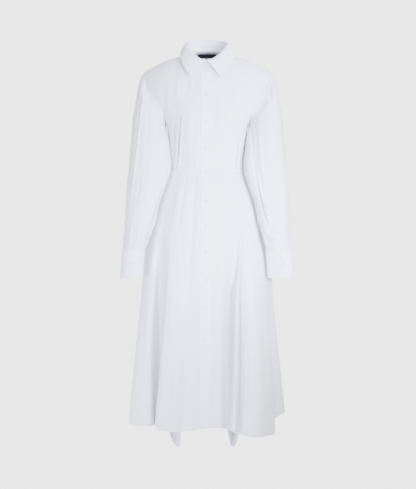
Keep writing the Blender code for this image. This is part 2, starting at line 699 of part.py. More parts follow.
def stand_point(angle, v):
    """The collar stand, from the neckline seam up to the roll line; its ends lap in front."""
    lap = (DOUBLED + LAY) * (angle / 360)
    spot = angle % 360
    x, z = neckline(spot)
    face = -1 if math.cos(math.radians(spot)) > 0 else 1
    low = Vector((x, face * torso_depth(x, z, face), z + STAND_LIFT))
    roll = collar_rows(spot)[0]
    if spot == 0:
        roll.x = x
    point = low.lerp(roll, v)
    out = Vector((point.x, point.y, 0)).normalized()
    return point + out * lap


def collar_stand():
    angles = [-STAND_OVERLAP, *range(0, 361, COLLAR_STEP), 360 + STAND_OVERLAP]
    return cloth_wall("collar_stand", stand_point, angles, even(2), wall=DOUBLED)


def leaf_point(angle, v):
    """The collar leaf, from just above the stand's roll line out and down to its edge."""
    roll, edge = collar_rows(angle)
    lifted = roll + Vector((0, 0, LEAF_LIFT))
    out = Vector((roll.x, roll.y, 0)).normalized()
    shoulder = lifted + out * LEAF_SHELF - Vector((0, 0, LEAF_SHELF_DROP))
    if v < LEAF_TURN:
        return lifted.lerp(shoulder, v / LEAF_TURN)
    along = (v - LEAF_TURN) / (1 - LEAF_TURN)
    return shoulder.lerp(edge, along) + out * LEAF_SWELL * math.sin(math.pi * along)


def collar_leaf():
    rows = [1.0, 0.78, 0.56, 0.34, LEAF_TURN, 0.0]
    angles = even(2 * 180 // COLLAR_STEP + 4, 0.001, 359.999)
    return cloth_wall("collar_leaf", leaf_point, angles, rows[::-1], wall=DOUBLED)


# ---- skirt ----
def waist_point(x, face):
    return np.array((x, face * torso_depth(x, waist_z(x), face), waist_z(x)))


def hip_point(x, face, hollow):
    depth = (HIP_FRONT if face < 0 else HIP_BACK) - 2 * hollow
    y = face * depth * math.sqrt(max(0.0, 1 - (x / HIP_HALF_WIDTH) ** 2))
    return np.array((x, y, WAIST_Z - HIP_DROP))


def fold_line(number, row):
    """One fold's line down the skirt, from the waist to the hem."""
    _, angle, hollow, mid_x, mid_y, hem_x, hem_y, hem_z = row
    turn = math.radians(angle)
    face = -1 if math.cos(turn) > 0 else 1
    waist_x, hip_x = TORSO.at(WAIST_Z)[0] * math.sin(turn), HIP_HALF_WIDTH * math.sin(turn)
    offset = CLOSING_ROWS.get(number - len(SKIRT_FOLDS) if number > 1 else number)
    if offset is not None:
        waist_x = centre_x(WAIST_Z) + offset * BAND_WIDTH
        hip_x = waist_x + CLOSING_DRIFT
    waist = waist_point(waist_x, face)
    hip = hip_point(hip_x, face, hollow)
    upper = blend(waist, hip, UPPER_HIP)
    upper[2] = blend(waist[2], hip[2], 0.5)
    stops = (waist, upper, hip, (mid_x, mid_y, MID_Z), (hem_x, hem_y, hem_z))
    return Curve([(s, *stop) for s, stop in zip(SKIRT_STATIONS, stops)])


FOLD_LINES = [fold_line(number, row) for number, row in enumerate(SKIRT_FOLDS)]


def fold_places():
    """Where each fold lies along the hem, close ones far enough apart for a smooth curve."""
    hems = [Vector(row[-3:]) for row in SKIRT_FOLDS]
    places = [0.0]
    for here, there in zip(hems, hems[1:] + hems[:1]):
        places.append(places[-1] + math.sqrt((there - here).length))
    return places


FOLD_PLACES = fold_places()


@functools.lru_cache(maxsize=None)
def skirt_ring(s):
    """The closed curve of the cloth at s, through every fold's line."""
    points = [line.at(s) for line in FOLD_LINES]
    whole = FOLD_PLACES[-1]
    rows = [(FOLD_PLACES[:-1][i] - whole, *points[i]) for i in (-3, -2, -1)]
    rows += [(place, *point) for place, point in zip(FOLD_PLACES, points)]
    rows += [(FOLD_PLACES[i] + whole, *points[i]) for i in range(3)]
    return Curve(rows)


def skirt_point(place, s):
    return Vector(skirt_ring(round(min(max(s, 0.0), 1.0), 6)).at(place))


def skirt_columns(first, last):
    """Places across a panel between two rows of the fold table, more of them in a wide gap."""
    columns = []
    for i in range(first, last):
        start, end = FOLD_PLACES[i], FOLD_PLACES[i + 1]
        reach = (skirt_point(end, 1.0) - skirt_point(start, 1.0)).length
        count = max(1, round(reach / SKIRT_STEP))
        columns += even(count, start, end)[:-1]
    return columns + [FOLD_PLACES[last]]


def skirt_panel(name, first, last):
    """One panel of the skirt between two seams."""
    columns = skirt_columns(first, last)
    rows = SKIRT_ROWS[::-1]

    def surface(place, s):
        share = (place - columns[0]) / (columns[-1] - columns[0])
        along = skirt_point(place + 1e-3, s) - skirt_point(place - 1e-3, s)
        inset = along.normalized() * SEAM / 2 * (1 - 2 * share)
        return skirt_point(place, s) + inset - Vector((0, 0, SEAM / 2 * (1 - s)))

    def mitre(column, row):
        axes = ""
        if column in (0, len(columns) - 1):
            seam = first if column == 0 else last
            axes = "y" if seam in (RIGHT_SIDE_ROW, LEFT_SIDE_ROW) else "x"
        return axes + ("z" if rows[row] == 0 else "")

    return cloth_wall(name, surface, columns, rows, mitre=mitre)


# ---- front band, buttons and label ----
def closing_point(u, rise):
    """On the two fronts: u across the band from -1 to 1; rise 0 at the hem, 1 waist, 2 neckline."""
    if rise <= 1:
        reach = FOLD_PLACES[1] if u > 0 else FOLD_PLACES[-1] - FOLD_PLACES[-2]
        return skirt_point(reach * u, 1 - rise)
    return front_point(BAND_SHARE * u or 1e-9, NECK_START * (rise - 1))


def front_band():
    """The doubled band down the middle, laid on both fronts from the neckline to the hem."""
    rows = [1 - s for s in SKIRT_ROWS[::-1]] + even(CENTRE_ROWS, 1.0, 2.0)[1:-1] + [2 - BAND_TRIM]
    proud = moved_out(closing_point, DOUBLED + LAY)
    return cloth_wall("placket", proud, even(2, -1.0, 1.0), rows, wall=DOUBLED)


def closing_rise(z):
    """How far up the closing the height z lies."""
    low, high = 0.0, 2.0
    for _ in range(30):
        middle = (low + high) / 2
        if closing_point(0.0, middle)[2] < z:
            low = middle
        else:
            high = middle
    return low


def button(name, seat, facing):
    """A round button lying on seat, its flat face towards facing."""
    bm = bmesh.new()
    bmesh.ops.create_cone(bm, cap_ends=True, segments=BUTTON_SIDES, radius1=BUTTON_RADIUS,
                          radius2=BUTTON_RADIUS * 0.86, depth=BUTTON_THICKNESS)
    turn = Vector((0, 0, 1)).rotation_difference(facing).to_matrix().to_4x4()
    centre = seat + facing * (BUTTON_THICKNESS / 2 + LAY)
    bmesh.ops.transform(bm, matrix=Matrix.Translation(centre) @ turn, verts=bm.verts)
    return piece_object(name, bm, WHITE_PEARL)


def front_buttons():
    """The column of buttons: one on the stand, then down the band."""
    roll = collar_rows(0)[0]
    low = stand_point(360, 0)
    seat = stand_point(360, (STAND_BUTTON_Z - low.z) / (roll.z - low.z))
    facing = Vector((0, low.z - roll.z, roll.y - low.y)).normalized()
    button("button_stand", seat + facing * LAY, facing)
    for number, z in enumerate(BAND_BUTTONS, start=1):
        here, facing = normal_of(closing_point, 0.0, closing_rise(z))
        button(f"button_{number:02d}", here + facing * (DOUBLED + LAY), facing)


def cuff_button(name, side):
    angle = CUFF_START + 360 + CUFF_OVERLAP - CUFF_BUTTON_INSET
    seat, facing = normal_of(lambda a, drop: cuff_point(side, a, drop), angle, CUFF_BUTTON_DROP)
    button(name, seat, facing * side)


def neck_label():
    """A plain woven label on the inside of the yoke, under the middle of the collar."""
    edge = YOKE_NECK_SHARE * 2 / NECKLINE_ROWS
    columns = [edge, edge / 2, 0.0, -edge / 2, -edge]

    def inside(u, w):
        here, facing = normal_of(lambda a, b: Vector(yoke_surface(-a, b)), -u, w)
        return here - facing * (CLOTH + LAY)

    rows = YOKE_ROWS[4:6]
    return cloth_wall("neck_label", inside, columns, rows, wall=LABEL_WALL, finish=BLACK_SATIN)


def main():
    for thing in list(bpy.data.objects):
        bpy.data.objects.remove(thing)
    bpy.context.scene.collection.objects.link(bpy.data.objects.new("dress", None))
    front_panel("bodice_front_left", -1)
    front_panel("bodice_front_right", 1)
    back_panel()
    yoke_panel()
    for name, side in (("left", -1), ("right", 1)):
        sleeve(f"sleeve_{name}", side)
        cuff(f"cuff_{name}", side)
        cuff_button(f"button_cuff_{name}", side)
    collar_stand()
    collar_leaf()
    skirt_panel("skirt_front_right", 0, RIGHT_SIDE_ROW)
    skirt_panel("skirt_back_right", RIGHT_SIDE_ROW, BACK_ROW)
    skirt_panel("skirt_back_left", BACK_ROW, LEFT_SIDE_ROW)
    skirt_panel("skirt_front_left", LEFT_SIDE_ROW, len(SKIRT_FOLDS))
    front_band()
    front_buttons()
    neck_label()


main()
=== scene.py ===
# %% [markdown]
# # A white shirt dress in the shape it takes when worn
#
# A shirt dress is a long shirt: two fronts that button through, a back hung from a yoke, a collar on its
# stand, sleeves closed by cuffs, and here a flared skirt joined on at the waist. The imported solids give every
# piece its place and its outline. This lesson lays fine cloth on the same forms, then adds what the solids
# leave out: creases, puckered edges, rows of stitches, buttonholes, sewn-on buttons and the weave itself.

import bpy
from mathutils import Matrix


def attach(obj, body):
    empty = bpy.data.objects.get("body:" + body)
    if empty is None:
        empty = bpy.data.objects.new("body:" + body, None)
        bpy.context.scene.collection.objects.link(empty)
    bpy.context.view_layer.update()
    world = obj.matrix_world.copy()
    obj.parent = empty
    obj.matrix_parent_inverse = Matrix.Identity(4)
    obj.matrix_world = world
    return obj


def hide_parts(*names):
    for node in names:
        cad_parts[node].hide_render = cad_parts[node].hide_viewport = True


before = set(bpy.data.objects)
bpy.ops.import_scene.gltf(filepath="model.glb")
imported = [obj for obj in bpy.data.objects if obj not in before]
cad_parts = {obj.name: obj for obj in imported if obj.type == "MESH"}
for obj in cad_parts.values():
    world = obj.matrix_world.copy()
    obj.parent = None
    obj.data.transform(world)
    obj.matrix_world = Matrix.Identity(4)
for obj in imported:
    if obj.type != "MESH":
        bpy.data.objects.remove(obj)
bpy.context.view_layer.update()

# %% [markdown]
# ## What the lesson needs from Python and Blender
#
# bmesh shapes every piece, numpy handles thousands of cloth points at once, a bounding volume tree finds the
# cloth under a stitch, and Blender's own noise makes cloth uneven in the same way on every run.

# %% Imports
import bisect
import functools
import math

import bmesh
import bpy
import numpy as np
from mathutils import Matrix, Vector, noise
from mathutils.bvhtree import BVHTree

print("Blender", bpy.app.version_string, "with numpy", np.__version__)

# %% [markdown]
# ## The view
#
# The dress is seen level and straight on from a few metres away. A camera without perspective would flatten
# it and a short lens would swell its chest, so a long lens at the height of the hips keeps its proportions.
# It follows from three lengths: the distance, the height shown there, and the height of the sensor.

# %% The camera
VIEW_DISTANCE = 5.3
VIEW_HEIGHT = 1.565  # height shown at the dress
VIEW_X = 0.002
VIEW_Z = -0.600
SENSOR_HEIGHT = 24.0  # mm

camera = bpy.data.objects.new("camera", bpy.data.cameras.new("camera"))
camera.data.sensor_fit = "VERTICAL"
camera.data.sensor_height = SENSOR_HEIGHT
camera.data.lens = SENSOR_HEIGHT * VIEW_DISTANCE / VIEW_HEIGHT
camera.location = (VIEW_X, -VIEW_DISTANCE, VIEW_Z)
camera.rotation_euler = (math.pi / 2, 0, 0)
bpy.context.scene.collection.objects.link(camera)
bpy.context.scene.camera = camera
print(f"lens {camera.data.lens:.1f} mm")

# %% [markdown]
# ## Helpers for node trees
#
# A finish could be put together by hand in the shader editor; written out, it can be read from top to bottom.
# One helper fills or links a node's inputs by their names, one adds a node, and one does arithmetic.

# %% Node helpers
def feed(tree, socket, value):
    """Links an input to the socket that feeds it, or sets it to a plain value."""
    if isinstance(value, bpy.types.NodeSocket):
        tree.links.new(value, socket)
    else:
        socket.default_value = value


def set_inputs(tree, node, **inputs):
    """Fills a node's inputs by their names, with _ for a space."""
    for name, value in inputs.items():
        feed(tree, node.inputs[name.replace("_", " ")], value)
    return node


def add_node(tree, kind, settings=None, **inputs):
    """Adds a node with its settings; inputs are numbers, colours or the sockets that feed them."""
    node = tree.nodes.new(kind)
    for name, value in (settings or {}).items():
        setattr(node, name, value)
    return set_inputs(tree, node, **inputs)


def calculate(tree, operation, *values):
    """The result of one arithmetic step on sockets or numbers."""
    node = tree.nodes.new("ShaderNodeMath")
    node.operation = operation
    for socket, value in zip(node.inputs, values):
        feed(tree, socket, value)
    return node.outputs[0]


print("node helpers are ready")

# %% [markdown]
# A node group is a small tree with named sockets. An effect that several finishes share is built once as a
# group and placed in each with its own values, so that one change reaches them all. Three more helpers wrap
# what every finish here ends with: a mix of two colours, a range, and a bump.

# %% Group and material helpers
def new_group(name, inputs, outputs):
    """An empty shader node group, with the nodes that stand for its inputs and outputs."""
    tree = bpy.data.node_groups.new(name, "ShaderNodeTree")
    for socket_name, kind, value in inputs:
        socket = tree.interface.new_socket(socket_name, in_out="INPUT", socket_type=kind)
        if value is not None:
            socket.default_value = value
    for socket_name, kind in outputs:
        tree.interface.new_socket(socket_name, in_out="OUTPUT", socket_type=kind)
    return tree, tree.nodes.new("NodeGroupInput").outputs, tree.nodes.new("NodeGroupOutput").inputs


def use_group(tree, group, **inputs):
    """Places a group in a tree and gives its outputs."""
    return add_node(tree, "ShaderNodeGroup", {"node_tree": group}, **inputs).outputs


def new_material(name):
    """A material with its node tree and its Principled shader."""
    material = bpy.data.materials.new(name)
    material.use_nodes = True
    return material, material.node_tree, material.node_tree.nodes["Principled BSDF"]


def colour_between(tree, share, first, second):
    """The colour a share of the way from the first to the second."""
    mix = add_node(tree, "ShaderNodeMix", {"data_type": "RGBA"}, Factor=share, A=first, B=second)
    return mix.outputs["Result"]


def value_between(tree, share, low, high):
    """The value a share of the way from low to high."""
    return add_node(tree, "ShaderNodeMapRange", Value=share, To_Min=low, To_Max=high).outputs[0]


def relief(tree, height, strength=1.0, distance=1.0):
    """The normals of a surface that carries this height."""
    return add_node(tree, "ShaderNodeBump", Strength=strength, Distance=distance, Height=height).outputs[0]


print("group and material helpers are ready")

# %% [markdown]
# ## Light and floor
#
# A white dress shows its folds only by how much light each patch of cloth can see. An even, bright room fills
# the hollows. The camera sees the same room brighter than the cloth feels it, so the ground behind stays
# pale whatever the lamps do.

# %% The room
ROOM_SEEN = 3.80  # how bright the room looks; the tone curve makes it a pale grey
ROOM_LIGHT = 1.64  # how bright it is to the dress
ROOM_TINT = (0.95, 0.94, 1.0)
WHITE = (1.0, 1.0, 1.0, 1.0)
BLACK = (0.0, 0.0, 0.0, 1.0)

world = bpy.data.worlds.new("room")
world.use_nodes = True
room = world.node_tree
room.nodes.clear()
seen = add_node(room, "ShaderNodeBackground", Color=WHITE, Strength=ROOM_SEEN)
felt = add_node(room, "ShaderNodeBackground", Color=(*ROOM_TINT, 1.0), Strength=ROOM_LIGHT)
path = add_node(room, "ShaderNodeLightPath")
either = add_node(room, "ShaderNodeMixShader", Fac=path.outputs["Is Camera Ray"])
room.links.new(felt.outputs[0], either.inputs[1])
room.links.new(seen.outputs[0], either.inputs[2])
add_node(room, "ShaderNodeOutputWorld", Surface=either.outputs[0])
bpy.context.scene.world = world
print("the room is", round(ROOM_SEEN / ROOM_LIGHT, 2), "times as bright to the camera as to the cloth")

# %% [markdown]
# The floor is one plain plane as bright as the room behind it, so no horizon shows. A floor that catches
# shadows would ground the dress, but a garment worn above it casts none that reach it.

# %% The floor
FLOOR_Z = -1.52  # the floor under the wearer's feet, from the neck
FLOOR_SIZE = 40.0


def lay_floor():
    """A plane that only the camera sees."""
    material, tree, shader = new_material("pale floor")
    set_inputs(tree, shader, Base_Color=BLACK, Specular_IOR_Level=0.0, Roughness=1.0, Emission_Color=WHITE,
               Emission_Strength=ROOM_SEEN)
    bm = bmesh.new()
    bmesh.ops.create_grid(bm, x_segments=1, y_segments=1, size=FLOOR_SIZE / 2)
    bmesh.ops.translate(bm, verts=bm.verts, vec=(0, 0, FLOOR_Z))
    mesh = bpy.data.meshes.new("floor")
    bm.to_mesh(mesh)
    bm.free()
    mesh.materials.append(material)
    floor = bpy.data.objects.new("floor", mesh)
    bpy.context.scene.collection.objects.link(floor)
    floor.visible_diffuse = False
    floor.visible_glossy = False
    floor.visible_shadow = False
    return floor


print("floor:", round(lay_floor().dimensions.x, 1), "m wide")

# %% [markdown]
# Softboxes shape the cloth. A picture of a studio could light it as well, but lamps are easier to move. A
# small one close to the right of the waist fades towards the shoulders and the hem, a low one on the left
# lights the skirt, a wide one in front lifts everything evenly, one behind models the back, and a narrow one
# above the right shoulder reaches into the collar.

# %% The softboxes
LAMP_TINT = (0.72, 0.745, 1.0)
SOFTBOXES = (
    # name, place, what it faces, size, watts, spread in degrees
    ("key", (0.78, -1.50, -0.46), (0.03, 0.0, -0.46), 0.45, 11.0, 50),
    ("fill", (0.20, -4.50, -0.80), (VIEW_X, 0.0, VIEW_Z), 2.00, 100.0, 180),
    ("skirt", (-1.60, -2.20, -1.15), (-0.05, 0.0, -1.00), 0.80, 10.0, 50),
    ("behind", (-1.10, 3.00, 0.30), (0.0, 0.0, -0.55), 1.20, 30.0, 60),
    ("collar", (1.00, -0.70, 0.50), (0.04, 0.02, 0.02), 0.30, 1.5, 29),
)


def hang_softbox(name, place, target, size, watts, spread):
    """A square light that faces the target; its spread is how wide its beam opens."""
    light = bpy.data.lights.new(name, "AREA")
    light.size = size
    light.energy = watts
    light.spread = math.radians(spread)
    light.color = LAMP_TINT
    box = bpy.data.objects.new(name, light)
    box.location = place
    towards = Vector(target) - box.location
    box.rotation_euler = towards.to_track_quat("-Z", "Y").to_euler()
    bpy.context.scene.collection.objects.link(box)


for row in SOFTBOXES:
    hang_softbox(*row)
print("lights:", len(SOFTBOXES))

# %% [markdown]
# ## Curves through short tables
#
# Every form of the dress is a handful of measured sections, as a dressmaker's form is. Drawn curves could be
# joined in the editor, but a table of sections is quicker to correct. A smooth curve through the rows of a
# table turns them into a surface; the cubic passes through each row without wild swings between.

# %% Curves
class Curve:
    """A smooth curve through the rows of a table, whose first column is the place along the curve."""

    def __init__(self, rows):
        table = np.array(rows, float)
        place, value = table[:, 0], table[:, 1:]
        step = np.diff(place)[:, None]
        slope = np.diff(value, axis=0) / step
        inner = (slope[:-1] * step[1:] + slope[1:] * step[:-1]) / (step[:-1] + step[1:])
        tangent = np.vstack([slope[:1], inner, slope[-1:]])
        self.place = place.tolist()
        leave, arrive = tangent[:-1] * step, tangent[1:] * step
        self.spans = np.stack([value[:-1], value[1:], leave, arrive], axis=2).tolist()

    def at(self, place):
        """The values at a place, which is kept within the table."""
        place = min(max(place, self.place[0]), self.place[-1])
        i = min(bisect.bisect_right(self.place, place) - 1, len(self.spans) - 1)
        t = (place - self.place[i]) / (self.place[i + 1] - self.place[i])
        r = 1 - t
        first, last, leave, arrive = (1 + 2 * t) * r * r, t * t * (3 - 2 * t), t * r * r, -t * t * r
        return [first * a + last * b + leave * c + arrive * d for a, b, c, d in self.spans[i]]


print("a curve through 0, 1 and 0 at its middle:", Curve([(0, 0), (1, 1), (2, 0)]).at(1.0))

# %% [markdown]
# A few small rules serve every form. A surface here is a rule too: two numbers go in and a point comes out,
# so the way it faces is found by stepping a little to each side.

# %% Blends and surfaces
def blend(a, b, t):
    return a + (b - a) * t


def ease(t):
    """A share from 0 to 1 that starts and ends gently."""
    t = min(max(t, 0.0), 1.0)
    return t * t * (3 - 2 * t)


def hump(distance, width):
    """A soft ridge, 1 at its middle."""
    return math.exp(-((distance / width) ** 2))


def even(count, start=0.0, end=1.0):
    """Evenly spaced values from start to end, with count steps between."""
    return [start + (end - start) * i / count for i in range(count + 1)]


def normal_of(surface, a, b, step=1e-3):
    """The direction in which surface faces at (a, b), with the point itself."""
    here = Vector(surface(a, b))
    along_a = Vector(surface(a + step, b)) - Vector(surface(a - step, b))
    along_b = Vector(surface(a, b + step)) - Vector(surface(a, b - step))
    return here, along_a.cross(along_b).normalized()


def moved_out(surface, distance):
    """The same surface, standing proud of itself."""

    def proud(a, b):
        here, facing = normal_of(surface, a, b)
        return here + facing * distance

    return proud


print("a soft ridge from its middle outwards:", [round(hump(d, 1.0), 2) for d in even(4, 0.0, 2.0)])

# %% [markdown]
# ## The woven cotton
#
# Poplin is a plain weave of fine threads, close and smooth, with a faint rib across. Nobody sees single
# threads from a few metres, but they soften every highlight. A picture of cloth would tile and stretch, so
# the weave is arithmetic on the cloth's own lengths, and turns and bends with each piece.

# %% Weave group
THREAD = 0.00042  # metres from one thread to the next
WEAVE_RELIEF = 0.00003
RIB_SHARE = 0.35  # how much the threads across stand out
THREAD_SWING = 0.37  # keeps the threads' height between 0 and 1
SLUBS_PER_METRE = (900.0, 45.0, 1.0)  # across and along the cloth
SLUB_SHARE = 0.6


def weave_group():
    """Threads over and under each other, with slubs where a thread is a little thicker."""
    tree, given, result = new_group(
        "plain weave",
        [("Cloth", "NodeSocketVector", None), ("Thread", "NodeSocketFloat", THREAD)],
        [("Height", "NodeSocketFloat"), ("Shade", "NodeSocketFloat")],
    )
    parts = add_node(tree, "ShaderNodeSeparateXYZ", Vector=given["Cloth"]).outputs
    turns = calculate(tree, "DIVIDE", 2 * math.pi, given["Thread"])
    warp = calculate(tree, "SINE", calculate(tree, "MULTIPLY", parts[0], turns))
    weft = calculate(tree, "SINE", calculate(tree, "MULTIPLY", parts[1], turns))
    crossing = calculate(tree, "MULTIPLY", warp, weft)
    rib = calculate(tree, "MULTIPLY", weft, RIB_SHARE)
    threads = calculate(tree, "MULTIPLY_ADD", calculate(tree, "ADD", crossing, rib), THREAD_SWING, 0.5)
    along = add_node(tree, "ShaderNodeMapping", Vector=given["Cloth"], Scale=SLUBS_PER_METRE).outputs[0]
    slubs = add_node(tree, "ShaderNodeTexNoise", Vector=along, Scale=1.0, Detail=2.0).outputs["Fac"]
    tree.links.new(calculate(tree, "MULTIPLY_ADD", slubs, SLUB_SHARE, threads), result["Height"])
    tree.links.new(slubs, result["Shade"])
    return tree


WEAVE = weave_group()
print(WEAVE.name, "-", round(0.01 / THREAD), "threads to a centimetre")

# %% [markdown]
# Worn cloth has faint crumples a few centimetres apart. Along each sewn edge there is a groove where two
# pieces meet, a low welt over the seam allowance, and small puckers where the stitches draw the cloth
# together. Modelled, they would need a far finer mesh, so they are heights in the material. The seams read a
# second map of each piece: the distance to its nearest sewn edge, and the place along it.

# %% Crumple group
CRUMPLES_PER_METRE = 24.0
CRUMPLE_STRETCH = (1.0, 1.0, 0.45)  # dents are longer down the cloth than across it


def crumple_group():
    """Soft dents over the whole cloth."""
    tree, given, result = new_group(
        "crumple",
        [("Place", "NodeSocketVector", None), ("Fineness", "NodeSocketFloat", CRUMPLES_PER_METRE)],
        [("Height", "NodeSocketFloat")],
    )
    stretched = add_node(tree, "ShaderNodeMapping", Vector=given["Place"], Scale=CRUMPLE_STRETCH).outputs[0]
    dents = add_node(
        tree, "ShaderNodeTexNoise", Vector=stretched, Scale=given["Fineness"], Detail=3.0, Distortion=0.6
    )
    tree.links.new(dents.outputs["Fac"], result["Height"])
    return tree


CRUMPLE = crumple_group()
print(CRUMPLE.name, "- dents about", round(100 / CRUMPLES_PER_METRE, 1), "cm apart")

# %% Seam group
PUCKER_PITCH = 0.0065
PUCKER_HEIGHT = 0.00022
PUCKER_REACH = 0.0060
PUCKER_DRIFT = 9.0  # radians by which uneven stitching moves the puckers
DRIFTS_PER_METRE = 60.0
GROOVE_DEPTH = 0.00004
GROOVE_REACH = 0.0011
WELT_HEIGHT = 0.00036
WELT_PLACE = 0.0042
WELT_REACH = 0.0026


def bell(tree, distance, middle, reach):
    """A smooth bell over a distance: 1 at its middle, and small beyond its reach."""
    share = calculate(tree, "DIVIDE", calculate(tree, "SUBTRACT", distance, middle), reach)
    square = calculate(tree, "MULTIPLY", share, share)
    return calculate(tree, "EXPONENT", calculate(tree, "MULTIPLY", square, -1.0))


def seam_group():
    """Groove, welt and puckers by the distance to a sewn edge and the place along it, in metres."""
    tree, given, result = new_group(
        "seam", [("Edge", "NodeSocketVector", None)], [("Height", "NodeSocketFloat")]
    )
    edge = given["Edge"]
    distance, place, _ = add_node(tree, "ShaderNodeSeparateXYZ", Vector=edge).outputs
    uneven = add_node(tree, "ShaderNodeTexNoise", Vector=edge, Scale=DRIFTS_PER_METRE, Detail=1.0)
    drift = calculate(tree, "MULTIPLY", uneven.outputs["Fac"], PUCKER_DRIFT)
    turns = calculate(tree, "MULTIPLY", place, 2 * math.pi / PUCKER_PITCH)
    waves = calculate(tree, "SINE", calculate(tree, "ADD", turns, drift))
    waves = calculate(tree, "MULTIPLY", waves, bell(tree, distance, 0.0, PUCKER_REACH))
    height = calculate(tree, "MULTIPLY", waves, PUCKER_HEIGHT)
    groove = calculate(tree, "MULTIPLY", bell(tree, distance, 0.0, GROOVE_REACH), -GROOVE_DEPTH)
    welt = calculate(tree, "MULTIPLY", bell(tree, distance, WELT_PLACE, WELT_REACH), WELT_HEIGHT)
    height = calculate(tree, "ADD", height, calculate(tree, "ADD", groove, welt))
    tree.links.new(height, result["Height"])
    return tree


SEAM_RELIEF = seam_group()
print(SEAM_RELIEF.name, "- a pucker every", 1000 * PUCKER_PITCH, "mm")

# %% [markdown]
# The cloth's material adds the three heights, each in metres, into one bump. A little sheen stands for the
# fine hairs of cotton, which catch light at grazing angles. The sides of a pinched fold touch and get no
# light; a sheet can't close so tightly, so an attribute of the mesh paints that shade into the cloth's colour
# where it is pinched.

# %% Poplin material
COTTON_WHITE = (0.810, 0.815, 0.830)  # a single layer, which lets some light through
COTTON_SHADE = (0.780, 0.785, 0.800)
PAINTED_FOLD_SHADE = (0.240, 0.250, 0.290, 1.0)  # painted shade for the depth of a fold whose sides touch
DOUBLED_WHITENESS = 1.08  # two layers throw back a little more
ROUGHNESS_SWING = 0.06  # smoother where a dent was pressed, rougher beside it


def poplin(name, crumple=0.0012, seam=1.0, roughness=0.82, whiteness=1.0):
    """White cotton poplin; crumple is a height in metres, seam a share of the usual seam relief."""
    material, tree, shader = new_material(name)
    cloth = add_node(tree, "ShaderNodeUVMap", {"uv_map": "cloth"}).outputs[0]
    edge = add_node(tree, "ShaderNodeUVMap", {"uv_map": "edge"}).outputs[0]
    place = add_node(tree, "ShaderNodeTexCoord").outputs["Object"]
    # painted shade: a mesh attribute that darkens the cloth's colour in narrow, deep folds
    painted_shade = add_node(tree, "ShaderNodeAttribute", {"attribute_name": "painted_shade"}).outputs["Fac"]
    weave = use_group(tree, WEAVE, Cloth=cloth, Thread=THREAD)
    dents = use_group(tree, CRUMPLE, Place=place, Fineness=CRUMPLES_PER_METRE)["Height"]
    seams = use_group(tree, SEAM_RELIEF, Edge=edge)["Height"]
    height = calculate(tree, "MULTIPLY", weave["Height"], WEAVE_RELIEF)
    height = calculate(tree, "ADD", height, calculate(tree, "MULTIPLY", dents, crumple))
    height = calculate(tree, "ADD", height, calculate(tree, "MULTIPLY", seams, seam))
    dark = (*(share * whiteness for share in COTTON_SHADE), 1.0)
    light = (*(share * whiteness for share in COTTON_WHITE), 1.0)
    tone = colour_between(tree, weave["Shade"], dark, light)
    set_inputs(
        tree,
        shader,
        # the cloth's tone with painted shade mixed in where a fold is pinched
        Base_Color=colour_between(tree, painted_shade, tone, PAINTED_FOLD_SHADE),
        Roughness=value_between(tree, dents, roughness - ROUGHNESS_SWING, roughness + ROUGHNESS_SWING),
        Normal=relief(tree, height),
        Specular_IOR_Level=0.25,
        Sheen_Weight=0.12,
        Sheen_Roughness=0.45,
    )
    return material


SOFT_POPLIN = poplin("white poplin")
FIRM_POPLIN = poplin(
    "white poplin, doubled", crumple=0.0005, seam=0.7, roughness=0.78, whiteness=DOUBLED_WHITENESS
)
print("cloths:", SOFT_POPLIN.name, "/", FIRM_POPLIN.name)

# %% [markdown]
# ## Laying cloth
#
# Each piece of a dress is cut flat and takes its form from the body and from its neighbours. A cloth
# simulation could drape it, but would put the folds where it likes. So each piece starts as one flat grid,
# whose corners are moved onto a form. The grid keeps count of the lengths across and along, which become the
# cloth map, and of the distance to the sewn edges.

# %% Lengths and maps of a sheet
JOIN_FADE = 0.006  # metres over which creases die out towards a joined edge
FAR = 1.0  # metres; stands for no sewn edge nearby


def lengths_along(places, axis):
    """How far along the cloth each grid point lies, in metres."""
    steps = np.linalg.norm(np.diff(places, axis=axis), axis=2)
    return np.insert(np.cumsum(steps, axis=axis), 0, 0.0, axis=axis)


def map_sheet(bm, places, sewn, joined):
    """Writes a grid's cloth map, its edge map, and how free each place is of the joined edges.

    Gives the lengths across and along the cloth at each place.
    """
    across, along = lengths_along(places, 1), lengths_along(places, 0)
    gaps = {"left": across, "right": across[:, -1:] - across, "low": along, "top": along[-1:] - along}
    runs = {"left": along, "right": along, "low": across, "top": across}
    distance = np.full(across.shape, FAR)
    nearest = np.zeros(across.shape, int)
    for number, edge in enumerate(sewn):
        nearest = np.where(gaps[edge] < distance, number, nearest)
        distance = np.minimum(gaps[edge], distance)
    cloth_map = bm.loops.layers.uv.new("cloth")
    edge_map = bm.loops.layers.uv.new("edge")
    columns = places.shape[1]
    for face in bm.faces:  # one edge counts for a whole face, so nothing jumps within it
        row, column = divmod(face.loops[0].vert.index, columns)
        run = runs[sewn[nearest[row, column]]] if sewn else across
        for loop in face.loops:
            row, column = divmod(loop.vert.index, columns)
            loop[cloth_map].uv = (across[row, column], along[row, column])
            loop[edge_map].uv = (distance[row, column], run[row, column])
    free = np.full(across.shape, 1.0)
    for edge in joined:
        free = np.minimum(free, gaps[edge] / JOIN_FADE)
    # the free layer, and an empty layer for the painted shade of narrow folds, which crease_sheet fills
    for name in ("free", "painted_shade"):
        bm.verts.layers.float.new(name)
    free_layer = bm.verts.layers.float["free"]  # looked up last, because each new layer moves the others
    for vert, share in zip(bm.verts, free.ravel().tolist()):
        vert[free_layer] = share * share * (3 - 2 * share)
    return across, along


print("creases fade over", 1000 * JOIN_FADE, "mm towards a joined edge")
